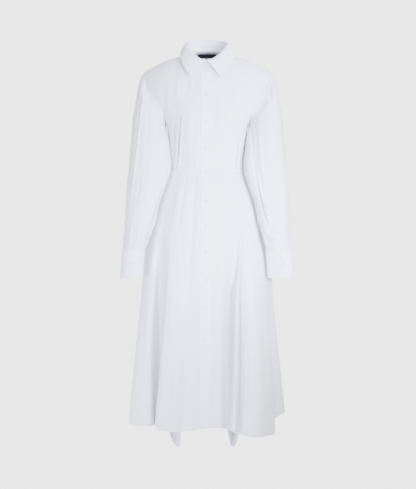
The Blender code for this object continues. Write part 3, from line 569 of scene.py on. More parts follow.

# %% [markdown]
# A crease is where cloth bends, and a real one leans: each is a soft ridge or trough along a bent line, with
# one side steeper than the other. Sculpting could draw them too, but rows of a table can be moved by a
# millimetre. They act where a piece faces front or back. A narrow, deep trough also marks its cloth for
# painted shade, and a slow noise keeps the cloth between them from being perfectly smooth.

# %% Creases
FRONT, BACK = -1, 1
CREASE_FADE = 0.7  # below 1, a crease keeps its depth until close to its ends
PAINTED_SHADE_WIDTH, PAINTED_SHADE_DEPTH = 0.0035, 0.006  # troughs narrower than this get painted shade; this deep, the whole of it
WOBBLE_SPANS = (0.05, 0.05, 0.14)  # metres between slow dents, longest down the cloth
WOBBLE_LAYERS = (0.9, 2.0, 3)  # how fast finer dents fade, how much finer each layer is, and how many


def crease_heights(places, creases):
    """How far creases, in millimetres, lift each (x, z) place, and how much painted shade it gets."""
    total, painted_shade = np.zeros(len(places)), np.zeros(len(places))
    for *sizes, lean in creases:
        x1, z1, x2, z2, x3, z3, width, height = (size / 1000 for size in sizes)
        start, middle, end = (np.array(p) for p in ((x1, z1), (x2, z2), (x3, z3)))
        chord = end - start
        t = np.clip((places - start) @ chord / (chord @ chord), 0.0, 1.0)[:, None]
        bend = 2 * middle - (start + end) / 2
        spine = start * (1 - t) ** 2 + 2 * bend * t * (1 - t) + end * t**2
        off = (places - spine) @ np.array((-chord[1], chord[0])) / np.linalg.norm(chord)
        side = width * (1 + lean * np.sign(off))
        rise = np.exp(-((off / side) ** 2)) * np.sin(math.pi * t[:, 0]) ** CREASE_FADE
        total += height * rise
        # a narrow, deep trough also gets painted shade, the more the deeper it is
        if width < PAINTED_SHADE_WIDTH and height < 0:
            painted_shade = np.maximum(painted_shade, rise * min(-height / PAINTED_SHADE_DEPTH, 1.0))
    return total, painted_shade


def crease_sheet(bm, tables, wobble):
    """Moves a sheet along its own normals by its creases, front and back, and by an uneven wobble."""
    bm.normal_update()
    places = np.array([vert.co[:] for vert in bm.verts])
    normals = np.array([vert.normal[:] for vert in bm.verts])
    free_layer, painted_shade_layer = bm.verts.layers.float["free"], bm.verts.layers.float["painted_shade"]
    free = np.array([vert[free_layer] for vert in bm.verts])
    lift, painted_shade = np.zeros(len(places)), np.zeros(len(places))
    for face, creases in tables.items():
        facing = np.clip(face * normals[:, 1], 0.0, 1.0) ** 0.5
        rise, narrow = crease_heights(places[:, (0, 2)], creases)
        lift += rise * facing
        painted_shade += narrow * facing
    for i, vert in enumerate(bm.verts):
        # painted shade of the narrow folds, kept for the cloth's colour
        vert[painted_shade_layer] = float(painted_shade[i])
        spot = Vector([place / span for place, span in zip(vert.co, WOBBLE_SPANS)])
        height = lift[i] + wobble * noise.fractal(spot, *WOBBLE_LAYERS)
        vert.co += Vector(normals[i]) * float(height * free[i])


print("slow dents:", [100 * span for span in WOBBLE_SPANS], "cm apart")

# %% [markdown]
# A finished mesh becomes an object that rides on the dress and stands for its solid. Solidify gives the
# sheet its thickness; modelling both faces would double the work. Smooth shading rounds the edge of such a
# sheet over a whole row of the grid, so one extra line lies close to each edge.

# %% Finished pieces
TREES = {}  # the laid cloth, for finding the place of a stitch
SINGLE_WALL = 0.0008  # thickness of one layer of cloth in a sheet
FOLDED_WALL = 0.0014  # of a piece sewn from two layers
MERGE_DISTANCE = 1e-6
EDGE_LINE = 0.12  # where the extra grid line lies between an edge and the next line


def finish_piece(name, bm, material, nodes):
    """Turns a bmesh into a piece that rides on the dress and stands for its solids."""
    mesh = bpy.data.meshes.new(name)
    bm.to_mesh(mesh)
    bm.free()
    mesh.shade_smooth()
    mesh.materials.append(material)
    piece = bpy.data.objects.new(name, mesh)
    bpy.context.scene.collection.objects.link(piece)
    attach(piece, "root")
    if nodes:
        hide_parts(*nodes)
    return piece


def crisp_ends(lines):
    """Adds a grid line just inside each end, so that shading rounds only the very edge of the cloth."""
    first = lines[0] + (lines[1] - lines[0]) * EDGE_LINE
    last = lines[-1] + (lines[-2] - lines[-1]) * EDGE_LINE
    return [lines[0], first, *lines[1:-1], last, lines[-1]]


def lay_cloth(node, surface, across, up, material, wall=SINGLE_WALL, sewn=(), joined=(), creases=None,
              wobble=0.0004, closed=False):
    """One cut piece of cloth on its form, in place of the solid called node.

    sewn names the edges with a row of stitches, joined those that meet another piece edge to edge.
    """
    across, up = crisp_ends(across), crisp_ends(up)
    bm = bmesh.new()
    bmesh.ops.create_grid(bm, x_segments=len(across) - 1, y_segments=len(up) - 1, size=0.5)
    places = np.array([[surface(a, b) for a in across] for b in up])
    for vert, place in zip(bm.verts, places.reshape(-1, 3)):
        vert.co = place
    bm.verts.index_update()
    widths, lengths = map_sheet(bm, places, sewn, joined)
    if closed:
        bmesh.ops.remove_doubles(bm, verts=bm.verts, dist=MERGE_DISTANCE)
    area = sum(face.calc_area() for face in bm.faces)
    crease_sheet(bm, creases or {}, wobble)
    bm.normal_update()
    TREES[node] = BVHTree.FromBMesh(bm)
    piece = finish_piece(f"cloth_{node}", bm, material, [node])
    shell = piece.modifiers.new("wall", "SOLIDIFY")
    shell.thickness = wall
    shell.offset = -1.0
    return piece


print("walls:", 1000 * SINGLE_WALL, "mm single,", 1000 * FOLDED_WALL, "mm doubled")

# %% [markdown]
# ## The form above the waist
#
# A body's cross-section is a rounded box, wider than it is deep, and the cloth touches it at the shoulders,
# bust and waist. A scanned body could carry the cloth, but only the cloth is wanted here, so one table holds
# half the width and the depth in front and behind at each height.

# %% Sizes of the bodice
WAIST_Z = -0.362
WAIST_DIP = 0.010  # the seam sinks this much from the centre to the viewer's right
DIP_START, DIP_REACH = 0.010, 0.090  # x where the dip starts, and how far it takes
UNDERARM_Z = -0.218
BAND_WIDTH = 0.034
CENTRE_NECK_X = -0.004  # the front closing lies a little to the wearer's right at the neck
CENTRE_DRIFT = 0.0005  # and this much less at the waist
SEAM = 0.0003  # gap between two pieces that a seam joins
LAY = 0.0005  # gap under a piece that lies on a panel
DOUBLED = 0.0016  # wall of the collar, cuffs and front band, which are sewn from two layers
TORSO = Curve([
    # z, half width, front, back
    (-0.375, 0.1185, 0.090, 0.074),
    (-0.362, 0.1180, 0.090, 0.074),
    (-0.333, 0.1175, 0.094, 0.075),
    (-0.300, 0.1200, 0.102, 0.080),
    (-0.275, 0.1232, 0.109, 0.085),
    (-0.250, 0.1265, 0.114, 0.090),
    (-0.218, 0.1310, 0.116, 0.096),
    (-0.205, 0.1395, 0.116, 0.098),
    (-0.190, 0.1520, 0.115, 0.100),
    (-0.170, 0.1660, 0.112, 0.102),
    (-0.133, 0.1900, 0.106, 0.103),
    (-0.090, 0.2100, 0.099, 0.101),
    (-0.048, 0.2180, 0.092, 0.098),
    (0.030, 0.2200, 0.088, 0.095),
])
TORSO_ROUNDNESS = 2.3  # above 2, the cross-section is squarer than an ellipse
SHOULDER_ROLL = 0.100  # height over which the cloth turns down from the shoulder seam
SHOULDER = Curve([
    # x, height of the shoulder seam
    (0.066, 0.0040),
    (0.088, 0.0000),
    (0.133, -0.0120),
    (0.162, -0.0260),
    (0.182, -0.0360),
    (0.200, -0.0480),
    (0.225, -0.0660),
])
NECK_SIDE = 0.066
NECK_RISE_FRONT = 0.012
NECK_RISE_BACK = 0.030
NECKLINE = Curve([
    # angle, x, z
    (0, 0.0000, -0.0440),
    (30, 0.0340, -0.0320),
    (45, 0.0470, -0.0170),
    (60, 0.0580, -0.0060),
    (90, 0.0660, 0.0040),
    (120, 0.0580, 0.0075),
    (150, 0.0340, 0.0185),
    (180, 0.0000, 0.0220),
])
SHOULDER_TIP = (0.2000, -0.0480)
UNDERARM = (0.1310, UNDERARM_Z)
ARMHOLE_BOWS = (
    # height of the bow's middle, reach up and down, how far outwards
    (-0.092, 0.026, 0.0170),
    (-0.172, 0.030, -0.0075),
)
print(f"{2 * TORSO.at(WAIST_Z)[0]:.3f} m across the waist, {2 * SHOULDER_TIP[0]:.3f} m across the shoulders")

# %% [markdown]
# The waist is taken in by tucks, short folds that are stitched down at the seam and open out above it. Softer
# folds hang from the collar and the armholes. Both could be creases of one piece, but they are added to the
# form's depth, so that cloth, band and buttons all follow them.

# %% Tucks and drapes
TUCKS = (
    # face, x at the waist, x at the top, height, half width, depth
    (-1, -0.096, -0.082, 0.160, 0.0085, 0.0075),
    (-1, -0.083, -0.064, 0.120, 0.0080, 0.0035),
    (-1, 0.091, 0.106, 0.150, 0.0085, 0.0075),
    (-1, 0.078, 0.090, 0.110, 0.0080, 0.0035),
    (1, -0.066, -0.056, 0.150, 0.0095, 0.0060),
    (1, 0.066, 0.056, 0.150, 0.0095, 0.0060),
)
DRAPES = (
    # face, x and z of the upper end, x and z of the lower end, half width, height of the ridge
    (-1, -0.085, -0.040, -0.112, -0.170, 0.012, 0.0040),
    (-1, -0.062, -0.060, -0.090, -0.190, 0.012, -0.0040),
    (-1, -0.150, -0.120, -0.118, -0.240, 0.010, -0.0040),
    (-1, 0.030, -0.085, 0.024, -0.270, 0.010, -0.0030),
    (-1, 0.150, -0.120, 0.112, -0.250, 0.010, -0.0040),
    (-1, 0.120, -0.050, 0.090, -0.190, 0.014, 0.0030),
    (1, -0.110, -0.120, -0.080, -0.270, 0.014, 0.0040),
    (1, 0.100, -0.110, 0.085, -0.280, 0.014, 0.0040),
)
TUCK_START = 0.02  # metres above the waist seam where a tuck has its whole depth
TUCK_FADE = 0.8
BUST_X = 0.070
BUST_Z = -0.205
BUST_SPREAD = 0.045
BUST_RISE = 0.006


def ridge(x, face):
    """Height of the shoulder seam at x, carried on across the neck."""
    x = abs(x)
    if x >= NECK_SIDE:
        return SHOULDER.at(x)[0]
    rise = NECK_RISE_FRONT if face < 0 else NECK_RISE_BACK
    return SHOULDER.at(NECK_SIDE)[0] + rise * (1 - (x / NECK_SIDE) ** 2)


def tuck_depth(x, z, face):
    """How far the tucks move the cloth; each is a step that sinks towards its fold."""
    above = z - WAIST_Z
    total = 0.0
    for tuck_face, waist_x, top_x, height, width, depth in TUCKS:
        if tuck_face != face or above > height:
            continue
        offset = (x - blend(waist_x, top_x, above / height)) / width
        fade = ease(above / TUCK_START) * (1 - above / height) ** TUCK_FADE
        total += depth * fade * offset * math.exp(0.5 - offset * offset / 2) * math.copysign(1, waist_x)
    return total


def drape_height(x, z, face):
    """How far the hanging folds lift the cloth."""
    total = 0.0
    for drape_face, top_x, top_z, end_x, end_z, width, height in DRAPES:
        if drape_face != face:
            continue
        along = (z - top_z) / (end_z - top_z)
        if 0 < along < 1:
            total += height * math.sin(math.pi * along) * hump(x - blend(top_x, end_x, along), width)
    return total


def torso_depth(x, z, face):
    """How far the cloth lies in front of (face -1) or behind (face 1) the side seams."""
    half_width, front, back = TORSO.at(z)
    taper = max(0.0, 1 - (abs(x) / half_width) ** TORSO_ROUNDNESS) ** (1 / TORSO_ROUNDNESS)
    below = min(max(ridge(x, face) - z, 0.0) / SHOULDER_ROLL, 1.0)
    roll = math.sqrt(1 - (1 - below) ** 2)
    depth = (front if face < 0 else back) * taper * roll
    softness = min(taper, roll)
    if face < 0:
        bust = hump(abs(x) - BUST_X, BUST_SPREAD) * hump(z - BUST_Z, BUST_SPREAD)
        depth += BUST_RISE * bust * softness
    return depth + (tuck_depth(x, z, face) + drape_height(x, z, face)) * softness


print("tucks:", len(TUCKS), "- drapes:", len(DRAPES))

# %% [markdown]
# The seams are lines on that form: the neckline is a table round the neck, the armhole a leaning oval, and
# the waist seam dips a little towards the right. Drawn once, each line serves both pieces that meet there.

# %% Seam lines
def waist_z(x):
    """Height of the waist seam."""
    return WAIST_Z - WAIST_DIP * ease((x - DIP_START) / DIP_REACH)


def centre_x(z):
    """The line down the middle of the front closing, above the waist."""
    return CENTRE_NECK_X + CENTRE_DRIFT * z / WAIST_Z


def folded_angle(angle):
    """An angle round the neck as it is on the right half, and the side that it lies on."""
    return abs((angle + 180) % 360 - 180), 1 if (angle % 360) <= 180 else -1


def neck_drift(angle):
    """How far the front of the neck follows the closing."""
    return CENTRE_NECK_X * max(0.0, math.cos(math.radians(angle))) ** 2


def neckline(angle):
    """x and z on the neckline seam: 0 at the centre front, 180 at the centre back."""
    folded, side = folded_angle(angle)
    x, z = NECKLINE.at(folded)
    return side * x + neck_drift(angle), z


def armhole_bow(angle, z):
    """How far outwards the armhole seam bows at an angle, whose height is z."""
    between = math.sin(math.radians(angle)) ** 2
    return between * sum(out * hump(z - middle, reach) for middle, reach, out in ARMHOLE_BOWS)


def armhole(angle):
    """x and z on the armhole seam: 0 at the shoulder tip, 180 at the underarm."""
    turn = math.cos(math.radians(angle))
    middle = [(a + b) / 2 for a, b in zip(SHOULDER_TIP, UNDERARM)]
    x, z = [m + (tip - m) * turn for m, tip in zip(middle, SHOULDER_TIP)]
    return x + armhole_bow(angle, z), z


print("neckline at the shoulder:", neckline(90), "- armhole in the middle:", armhole(90))

# %% [markdown]
# Each panel is stretched between two such lines, as a dressmaker pins a piece along one edge and smooths it
# towards the other. A grid that follows the edges of a piece needs no trimming, and its rows run as the
# threads of the cloth do.

# %% Panels between the seams
BAND_SHARE = 0.13  # of the columns of a front, under the front band
BAND_TRIM = 0.005  # of the rows, left free of the band under the collar
SIDE_SEAM_END = 0.40  # of the rows, beside the side seam and below the armhole
NECK_START = 0.76  # of the rows of a front, below the neckline
YOKE_Z = -0.092  # height of the seam under the yoke
YOKE_NECK_SHARE = 0.36  # of the yoke's width, under the neckline
SIDE_NUDGE = 1e-9  # keeps a place at the centre front on its own side
EDGE_HOLD = 4  # how quickly a panel leaves the line of its edge


def yoke_corner():
    """Where up the outer edge the armhole reaches the height of the yoke seam."""
    middle_z = (SHOULDER_TIP[1] + UNDERARM[1]) / 2
    angle = math.degrees(math.acos((YOKE_Z - middle_z) / (SHOULDER_TIP[1] - middle_z)))
    return 1 - (1 - SIDE_SEAM_END) * angle / 180


YOKE_CORNER = yoke_corner()


def inner_edge(v):
    """x and z up the centre front and then round the neckline to the shoulder."""
    if v <= NECK_START:
        z = blend(WAIST_Z, neckline(0)[1], v / NECK_START)
        return centre_x(z), z
    return neckline(blend(0, 90, (v - NECK_START) / (1 - NECK_START)))


def outer_edge(v):
    """x and z up the side seam and then up the armhole to the shoulder tip."""
    if v <= SIDE_SEAM_END:
        z = blend(WAIST_Z, UNDERARM_Z, v / SIDE_SEAM_END)
        return TORSO.at(z)[0], z
    return armhole(180 * (1 - (v - SIDE_SEAM_END) / (1 - SIDE_SEAM_END)))


def front_point(u, v):
    """u runs from the centre to a side, negative on the viewer's left; v from waist to shoulder."""
    side = -1 if u < 0 else 1
    inner_x, inner_z = inner_edge(v)
    if side < 0:
        inner_x = 2 * inner_edge(min(v, NECK_START))[0] - inner_x
    outer_x, outer_z = outer_edge(v)
    share = abs(u)
    band_x = inner_x + side * BAND_WIDTH / 2 * min(share / BAND_SHARE, 1.0)
    x = blend(band_x, side * outer_x, max(0.0, share - BAND_SHARE) / (1 - BAND_SHARE))
    z = blend(inner_z, outer_z, share)
    z += (ridge(x, -1) - z) * max(0.0, (v - 0.5) / 0.5) ** EDGE_HOLD * math.sin(math.pi * share)
    if v == 1.0:
        z = ridge(x, -1)
    z += (waist_z(x) - WAIST_Z) * (1 - v) ** EDGE_HOLD
    return x, -torso_depth(x, z, -1), z


def back_point(u, w):
    """u runs across from -1 to 1, w from the waist up to the yoke seam."""
    outer_x, outer_z = outer_edge(w * YOKE_CORNER)
    share = abs(u)
    x = math.copysign(outer_x * share, u)
    z = blend(blend(WAIST_Z, YOKE_Z, w), outer_z, share)
    z += (waist_z(x) - WAIST_Z) * (1 - w) ** EDGE_HOLD
    return x, torso_depth(x, z, 1), z


def yoke_point(u, w):
    """u runs across from -1 to 1, w from the yoke seam up to the neckline and shoulder seams."""
    side = -1 if u < 0 else 1
    share = abs(u)
    low_x, _, low_z = back_point(share, 1.0)
    if share <= YOKE_NECK_SHARE:
        top_x, top_z = neckline(blend(180, 90, share / YOKE_NECK_SHARE))
    else:
        top_x = blend(NECK_SIDE, SHOULDER_TIP[0], (share - YOKE_NECK_SHARE) / (1 - YOKE_NECK_SHARE))
        top_z = ridge(top_x, 1)
    x = blend(low_x, top_x, w)
    z = blend(low_z, top_z, w)
    edge_x, edge_z = outer_edge(blend(YOKE_CORNER, 1.0, w))
    corner_x, corner_z = outer_edge(YOKE_CORNER)
    pull = share**EDGE_HOLD
    x += pull * (edge_x - blend(corner_x, SHOULDER_TIP[0], w))
    z += pull * (edge_z - blend(corner_z, SHOULDER_TIP[1], w))
    return side * x, torso_depth(side * x, z, 1), z


print("yoke seam meets the armhole at", [round(n, 3) for n in outer_edge(YOKE_CORNER)])

# %% [markdown]
# ## The fronts
#
# A shirt front is one piece from the shoulder to the waist, cut round the neck and the armhole. Both fronts
# share one table of creases, so a fold that crosses the closing meets itself. Narrow troughs beside the tucks
# make the pressed fold lines, dark partly from their depth and partly from painted shade, and wider ones hang
# from the collar and the armhole.

# %% Lay the fronts
FRONT_CREASES = (
    # millimetres: x and z of the start, middle and end, half width, height; and the lean
    (-85, -191, -91, -279, -100, -373, 2.4, -6.5, -0.2),
    (-78, -197, -83, -279, -91, -367, 3.5, 2.4, 0),
    (-100, -191, -104, -279, -100, -360, 2.2, -3, -0.2),
    (-110, -191, -113, -273, -108, -348, 3.8, 3, 0),
    (-120, -78, -124, -135, -120, -197, 5.8, 2.6, 0),
    (-100, -53, -103, -116, -106, -185, 8.3, -3.2, 0),
    (-72, -53, -76, -116, -83, -179, 8.3, 3.2, 0),
    (-39, -72, -42, -110, -50, -154, 7, -1.8, 0),
    (-54, -160, -58, -223, -67, -304, 9.6, 1.8, 0),
    (-42, -210, -44, -273, -48, -335, 7, -1.4, 0),
    (105, -248, 97, -307, 86, -376, 2.1, -4.2, 0),
    (121, -216, 90, -282, 77, -370, 3.2, 2.8, 0),
    (110, -254, 102, -310, 92, -373, 2.6, 2.4, 0),
    (180, -122, 144, -172, 119, -238, 2.9, 2.6, 0),
    (55, -41, 65, -91, 71, -147, 9.6, -1.4, 0),
    (80, -60, 90, -122, 90, -185, 9.6, 1.6, 0),
    (121, -97, 112, -141, 96, -185, 7.7, -1.6, 0.2),
    (152, -135, 124, -176, 108, -219, 5.1, -1.6, 0.4),
    (127, -160, 102, -185, 71, -197, 7, -1.2, 0),
    (-58, -323, -59, -348, -61, -373, 2.9, -1.2, 0),
    (-42, -329, -43, -354, -45, -376, 2.9, -1, 0),
    (46, -323, 47, -348, 49, -376, 2.9, -1.2, 0),
    (65, -329, 66, -354, 65, -376, 2.9, -1, 0),
    (33, -185, 36, -248, 33, -323, 10.9, 1.4, 0),
)
FRONT_COLUMNS = (6, 104)  # under the band, and beside it
FRONT_ROWS = (112, 38)  # below the neckline, and beside it


def front_columns(side):
    """Shares across a front from left to right; those on the left side are negative."""
    under, beside = FRONT_COLUMNS
    shares = even(under, 0.0, BAND_SHARE) + even(beside, BAND_SHARE, 1.0)[1:]
    return shares if side > 0 else [-s for s in reversed(shares)]


def lay_front(node, side):
    def surface(u, v):
        return front_point(u if u else side * SIDE_NUDGE, v)

    below, beside = FRONT_ROWS
    rows = even(below, 0.0, NECK_START) + even(beside, NECK_START, 1.0)[1:]
    sewn = ("low", "top", "right" if side > 0 else "left")
    lay_cloth(node, surface, front_columns(side), rows, SOFT_POPLIN, sewn=sewn, joined=sewn,
              creases={FRONT: FRONT_CREASES})


lay_front("bodice_front_left", -1)
lay_front("bodice_front_right", 1)

# %% [markdown]
# ## The back and the yoke
#
# The back is one piece under a yoke, the double strip across the shoulder blades. Nothing here is seen from
# the front, and a smooth back would look like plastic: a worn shirt shows a few soft folds from the blades to
# the waist, and short pinched ones where its tucks open, darkened with painted shade.

# %% Lay the back and yoke
BACK_CREASES = (
    # as in FRONT_CREASES
    (-60, -110, -66, -200, -62, -330, 9, 3, 0.4),
    (58, -105, 64, -210, 60, -335, 9, 3, -0.4),
    (-105, -130, -98, -210, -85, -300, 8, -3.5, 0.3),
    (102, -125, 96, -205, 82, -310, 8, -3.5, -0.3),
    (-12, -240, -4, -300, 2, -350, 10, -2, 0),
    (-140, -120, -120, -170, -112, -240, 6, 3, 0.4),
    (142, -118, 122, -172, 110, -232, 6, 3, -0.4),
    (-70, -215, -64, -285, -57, -348, 2.6, -5, 0.2),
    (-54, -250, -50, -300, -46, -348, 2.4, -3.2, 0.2),
    (68, -225, 62, -290, 55, -350, 2.6, -4.8, -0.2),
    (20, -300, 55, -316, 98, -306, 4, 1.6, 0.3),
    (-30, -322, -60, -332, -100, -322, 4, 1.4, 0.3),
)
BACK_COLUMNS, BACK_ROWS = 130, 100
YOKE_COLUMNS = (28, 34)  # of each half: under the neckline, and beside it
YOKE_ROWS = 44
ALL_EDGES = ("left", "right", "low", "top")


def lay_back():
    lay_cloth("bodice_back", back_point, even(BACK_COLUMNS, 1.0, -1.0), even(BACK_ROWS), SOFT_POPLIN,
              sewn=ALL_EDGES, joined=ALL_EDGES, creases={BACK: BACK_CREASES})


def lay_yoke():
    under, beside = YOKE_COLUMNS
    columns = even(under, 0.0, YOKE_NECK_SHARE) + even(beside, YOKE_NECK_SHARE, 1.0)[1:]
    columns = columns[::-1] + [-share for share in columns[1:]]
    lay_cloth("yoke", yoke_point, columns, even(YOKE_ROWS), FIRM_POPLIN, sewn=ALL_EDGES,
              joined=ALL_EDGES)


lay_back()
lay_yoke()

# %% [markdown]
# ## Sleeves
#
# A sleeve is one piece of cloth folded into a tube, eased into the armhole at the top and gathered into the
# cuff below. A bent cylinder would do for a stiff sleeve; this one is a table of sections that run from the
# outer to the inner edge, because loose cloth is never round. Long folds travel down it as troughs by angle,
# loose rings slump above the cuff, and a last table draws the creases that cross them.

# %% Form of the sleeves
SLEEVE = Curve([
    # place, outer x, z, inner x, z, middle y, half depth, change of inner x on the right sleeve
    (0.00, 0.2000, -0.0480, 0.1310, -0.2180, 0.000, 0.060, 0.000),
    (0.05, 0.2135, -0.0670, 0.1322, -0.2270, -0.004, 0.062, 0.000),
    (0.11, 0.2225, -0.1010, 0.1294, -0.2390, -0.013, 0.062, 0.000),
    (0.19, 0.2290, -0.1480, 0.1262, -0.2550, -0.025, 0.061, 0.000),
    (0.29, 0.2390, -0.2050, 0.1232, -0.2770, -0.035, 0.061, 0.000),
    (0.39, 0.2435, -0.2650, 0.1195, -0.3020, -0.042, 0.061, 0.000),
    (0.48, 0.2475, -0.3150, 0.1168, -0.3330, -0.049, 0.061, -0.001),
    (0.57, 0.2510, -0.3680, 0.1175, -0.3670, -0.056, 0.060, -0.001),
    (0.65, 0.2550, -0.4120, 0.1290, -0.4090, -0.068, 0.057, -0.002),
    (0.75, 0.2575, -0.4700, 0.1490, -0.4650, -0.083, 0.053, -0.003),
    (0.85, 0.2590, -0.5300, 0.1630, -0.5250, -0.094, 0.049, -0.003),
    (0.93, 0.2615, -0.5760, 0.1780, -0.5720, -0.100, 0.044, -0.006),
    (0.97, 0.2640, -0.6010, 0.1880, -0.5990, -0.102, 0.040, -0.009),
    (1.00, 0.2655, -0.6170, 0.1965, -0.6170, -0.103, 0.0365, -0.013),
])
CAP_REACH = 0.14  # the stretch over which the sleeve leaves the armhole's own curve
SLEEVE_FOLDS = (
    # sleeve, angle at its top, angle at its end, half width, depth, start, end
    (-1, 62, 50, 13, 0.0050, 0.05, 0.80),
    (-1, 128, 112, 12, 0.0070, 0.08, 0.90),
    (-1, 20, 16, 12, 0.0060, 0.06, 0.78),
    (-1, 215, 235, 16, 0.0060, 0.10, 0.88),
    (-1, 290, 300, 16, 0.0050, 0.10, 0.80),
    (1, 128, 104, 12, 0.0080, 0.10, 0.92),
    (1, 58, 66, 13, 0.0060, 0.05, 0.86),
    (1, 96, 84, 10, 0.0040, 0.30, 0.90),
    (1, 220, 236, 16, 0.0060, 0.10, 0.88),
    (1, 292, 302, 16, 0.0050, 0.10, 0.80),
)
FOLD_FADE = 0.6
SLEEVE_SLUMPS = (
    # sleeve, place, half length, height, angle where it is deepest
    (-1, 0.865, 0.020, 0.0035, 120),
    (-1, 0.925, 0.016, 0.0030, 60),
    (1, 0.850, 0.020, 0.0045, 110),
    (1, 0.905, 0.016, 0.0045, 70),
    (1, 0.955, 0.012, 0.0035, 95),
)
SLUMP_ROUND, SLUMP_FRONT = 0.6, 0.4  # share of a ring that goes all round, and share on its deepest side
GATHERS = 7  # into each cuff
GATHER_HEIGHT = 0.0020
GATHER_START, GATHER_REACH = 0.86, 0.10  # place where the gathers begin, and how soon they are whole
PRESS_START, PRESS_REACH = 0.96, 0.04  # place where the cuff begins to press them flat, and how soon it has
PRESS_SHARE = 0.75
SLIMMING = 0.45  # of a change of the inner edge, how much goes off the depth as well


def sleeve_section(side, s):
    """The middle of a section, its half step towards the outer edge, and its half depth."""
    outer_x, outer_z, inner_x, inner_z, middle_y, depth, change = SLEEVE.at(s)
    if side > 0:
        inner_x += change
        depth += SLIMMING * change
    middle = Vector(((outer_x + inner_x) / 2, middle_y, (outer_z + inner_z) / 2))
    half = Vector(((outer_x - inner_x) / 2, 0.0, (outer_z - inner_z) / 2))
    return middle, half, depth


def fold_inset(side, angle, s):
    """How far the long folds and the loose rings move the cloth inwards."""
    inset = 0.0
    for sleeve, top, end, width, fold_depth, start, stop in SLEEVE_FOLDS:
        if sleeve == side and start < s < stop:
            along = (s - start) / (stop - start)
            off = (angle - blend(top, end, along) + 180) % 360 - 180
            inset += fold_depth * hump(off, width) * math.sin(math.pi * along) ** FOLD_FADE
    for sleeve, place, length, height, deepest in SLEEVE_SLUMPS:
        if sleeve == side:
            towards = SLUMP_ROUND + SLUMP_FRONT * math.cos(math.radians(angle - deepest))
            inset -= height * hump(s - place, length) * towards
    return inset


def sleeve_point(side, angle, s):
    """A point on a sleeve: angle 0 on its outer edge, 90 in front; s from armhole to cuff seam."""
    middle, half, depth = sleeve_section(side, s)
    turn = math.radians(angle)
    point = middle + half * math.cos(turn) + Vector((0, -depth * math.sin(turn), 0))
    face = -1 if math.sin(turn) > 0 else 1
    arm_x, arm_z = armhole(angle)
    seam_y = face * torso_depth(arm_x, arm_z, face)
    away = ease(s / CAP_REACH)
    point.x += armhole_bow(angle, arm_z) * (1 - away)
    point.y = blend(seam_y, point.y, away)
    out = (point - middle).normalized()
    pressed = PRESS_SHARE * ease((s - PRESS_START) / PRESS_REACH)
    gather = ease((s - GATHER_START) / GATHER_REACH) * (1 - pressed)
    inset = fold_inset(side, angle, s) - GATHER_HEIGHT * gather * math.cos(GATHERS * turn)
    point -= out * inset
    point.x *= side
    return point


print("sleeve folds:", len(SLEEVE_FOLDS), "- loose rings:", len(SLEEVE_SLUMPS), "- gathers:", 2 * GATHERS)

# %% Creases of the sleeves
SLEEVE_CREASES = {
    # side: as in FRONT_CREASES
    -1: (
        (-202, -78, -215, -247, -243, -479, 6.1, 7, 0.7),
        (-128, -191, -127, -241, -125, -294, 5.1, 6, 0),
        (-142, -420, -156, -479, -182, -545, 2.4, -7, 0),
        (-151, -410, -166, -479, -190, -545, 4.2, 3.2, 0),
        (-132, -429, -148, -486, -170, -542, 3.8, 2.6, 0),
        (-180, -555, -187, -595, -196, -642, 2.6, -8, 0),
        (-189, -548, -197, -586, -206, -627, 3.5, 2.6, 0),
        (-180, -97, -188, -229, -189, -392, 9.6, -3.4, 0.2),
        (-161, -122, -163, -241, -158, -373, 8.3, 2.6, 0.2),
        (-167, -304, -177, -392, -195, -479, 4.5, -2.6, 0.3),
        (-180, -367, -188, -442, -202, -523, 5.1, 2.6, 0.2),
        (-208, -354, -216, -429, -227, -504, 4.8, -2.2, 0.2),
        (-239, -492, -217, -523, -183, -511, 3.8, -1.8, 0.3),
        (-233, -435, -205, -470, -170, -457, 5.1, 2, 0.3),
        (-247, -576, -228, -602, -205, -592, 2.9, 3.4, 0.3),
        (-230, -504, -238, -555, -247, -608, 3.5, 2.4, 0.3),
        (-216, -542, -222, -573, -228, -608, 2.9, -1.6, 0),
    ),
    1: (
        (129, -191, 129, -241, 125, -294, 5.1, 6, 0),
        (135, -179, 140, -291, 155, -417, 4.5, -6.5, 0.3),
        (154, -398, 167, -461, 183, -529, 2.4, -9, 0),
        (172, -404, 184, -470, 199, -529, 4.5, 3.4, 0.2),
        (124, -260, 129, -367, 159, -479, 4.2, 3.2, 0),
        (197, -59, 201, -172, 198, -385, 4.8, -3.2, 0.2),
        (189, -72, 191, -210, 187, -404, 5.1, 2.8, 0),
        (207, -91, 211, -241, 207, -404, 5.1, 2.2, 0.2),
        (157, -160, 163, -273, 171, -385, 5.8, 2.2, 0),
        (221, -172, 224, -304, 231, -454, 5.8, -2.6, 0.2),
        (210, -398, 215, -473, 226, -542, 3.8, -3, 0.2),
        (190, -473, 204, -542, 256, -553, 3.5, 4.2, 0.3),
        (184, -495, 199, -561, 259, -569, 3.5, -2.6, 0.3),
        (179, -514, 194, -576, 256, -584, 2.9, 4, 0.3),
        (174, -539, 190, -591, 240, -600, 3.5, -2.2, 0.3),
        (215, -526, 237, -551, 260, -540, 3.5, -1.8, 0.2),
        (171, -454, 195, -492, 237, -473, 4.2, 2.4, 0.3),
        (159, -448, 184, -489, 231, -492, 3.8, -1.8, 0.3),
    ),
}
SLEEVE_BACK_CREASES = (
    # as in FRONT_CREASES
    (196, -100, 190, -230, 196, -380, 7, -4.5, 0.4),
    (222, -140, 228, -300, 232, -470, 6, 3, -0.4),
    (170, -240, 168, -330, 186, -440, 7, 3.5, 0.3),
    (186, -430, 210, -500, 238, -570, 6, -4, 0.4),
    (205, -540, 228, -562, 252, -552, 5, 3.5, 0.3),
    (200, -575, 226, -592, 254, -585, 4, 3, 0.3),
)


def on_side(creases, side):
    """A table drawn for the right side, laid on a side: the three x values of each row change sign."""
    return [[n * side if i in (0, 2, 4) else n for i, n in enumerate(row)] for row in creases]


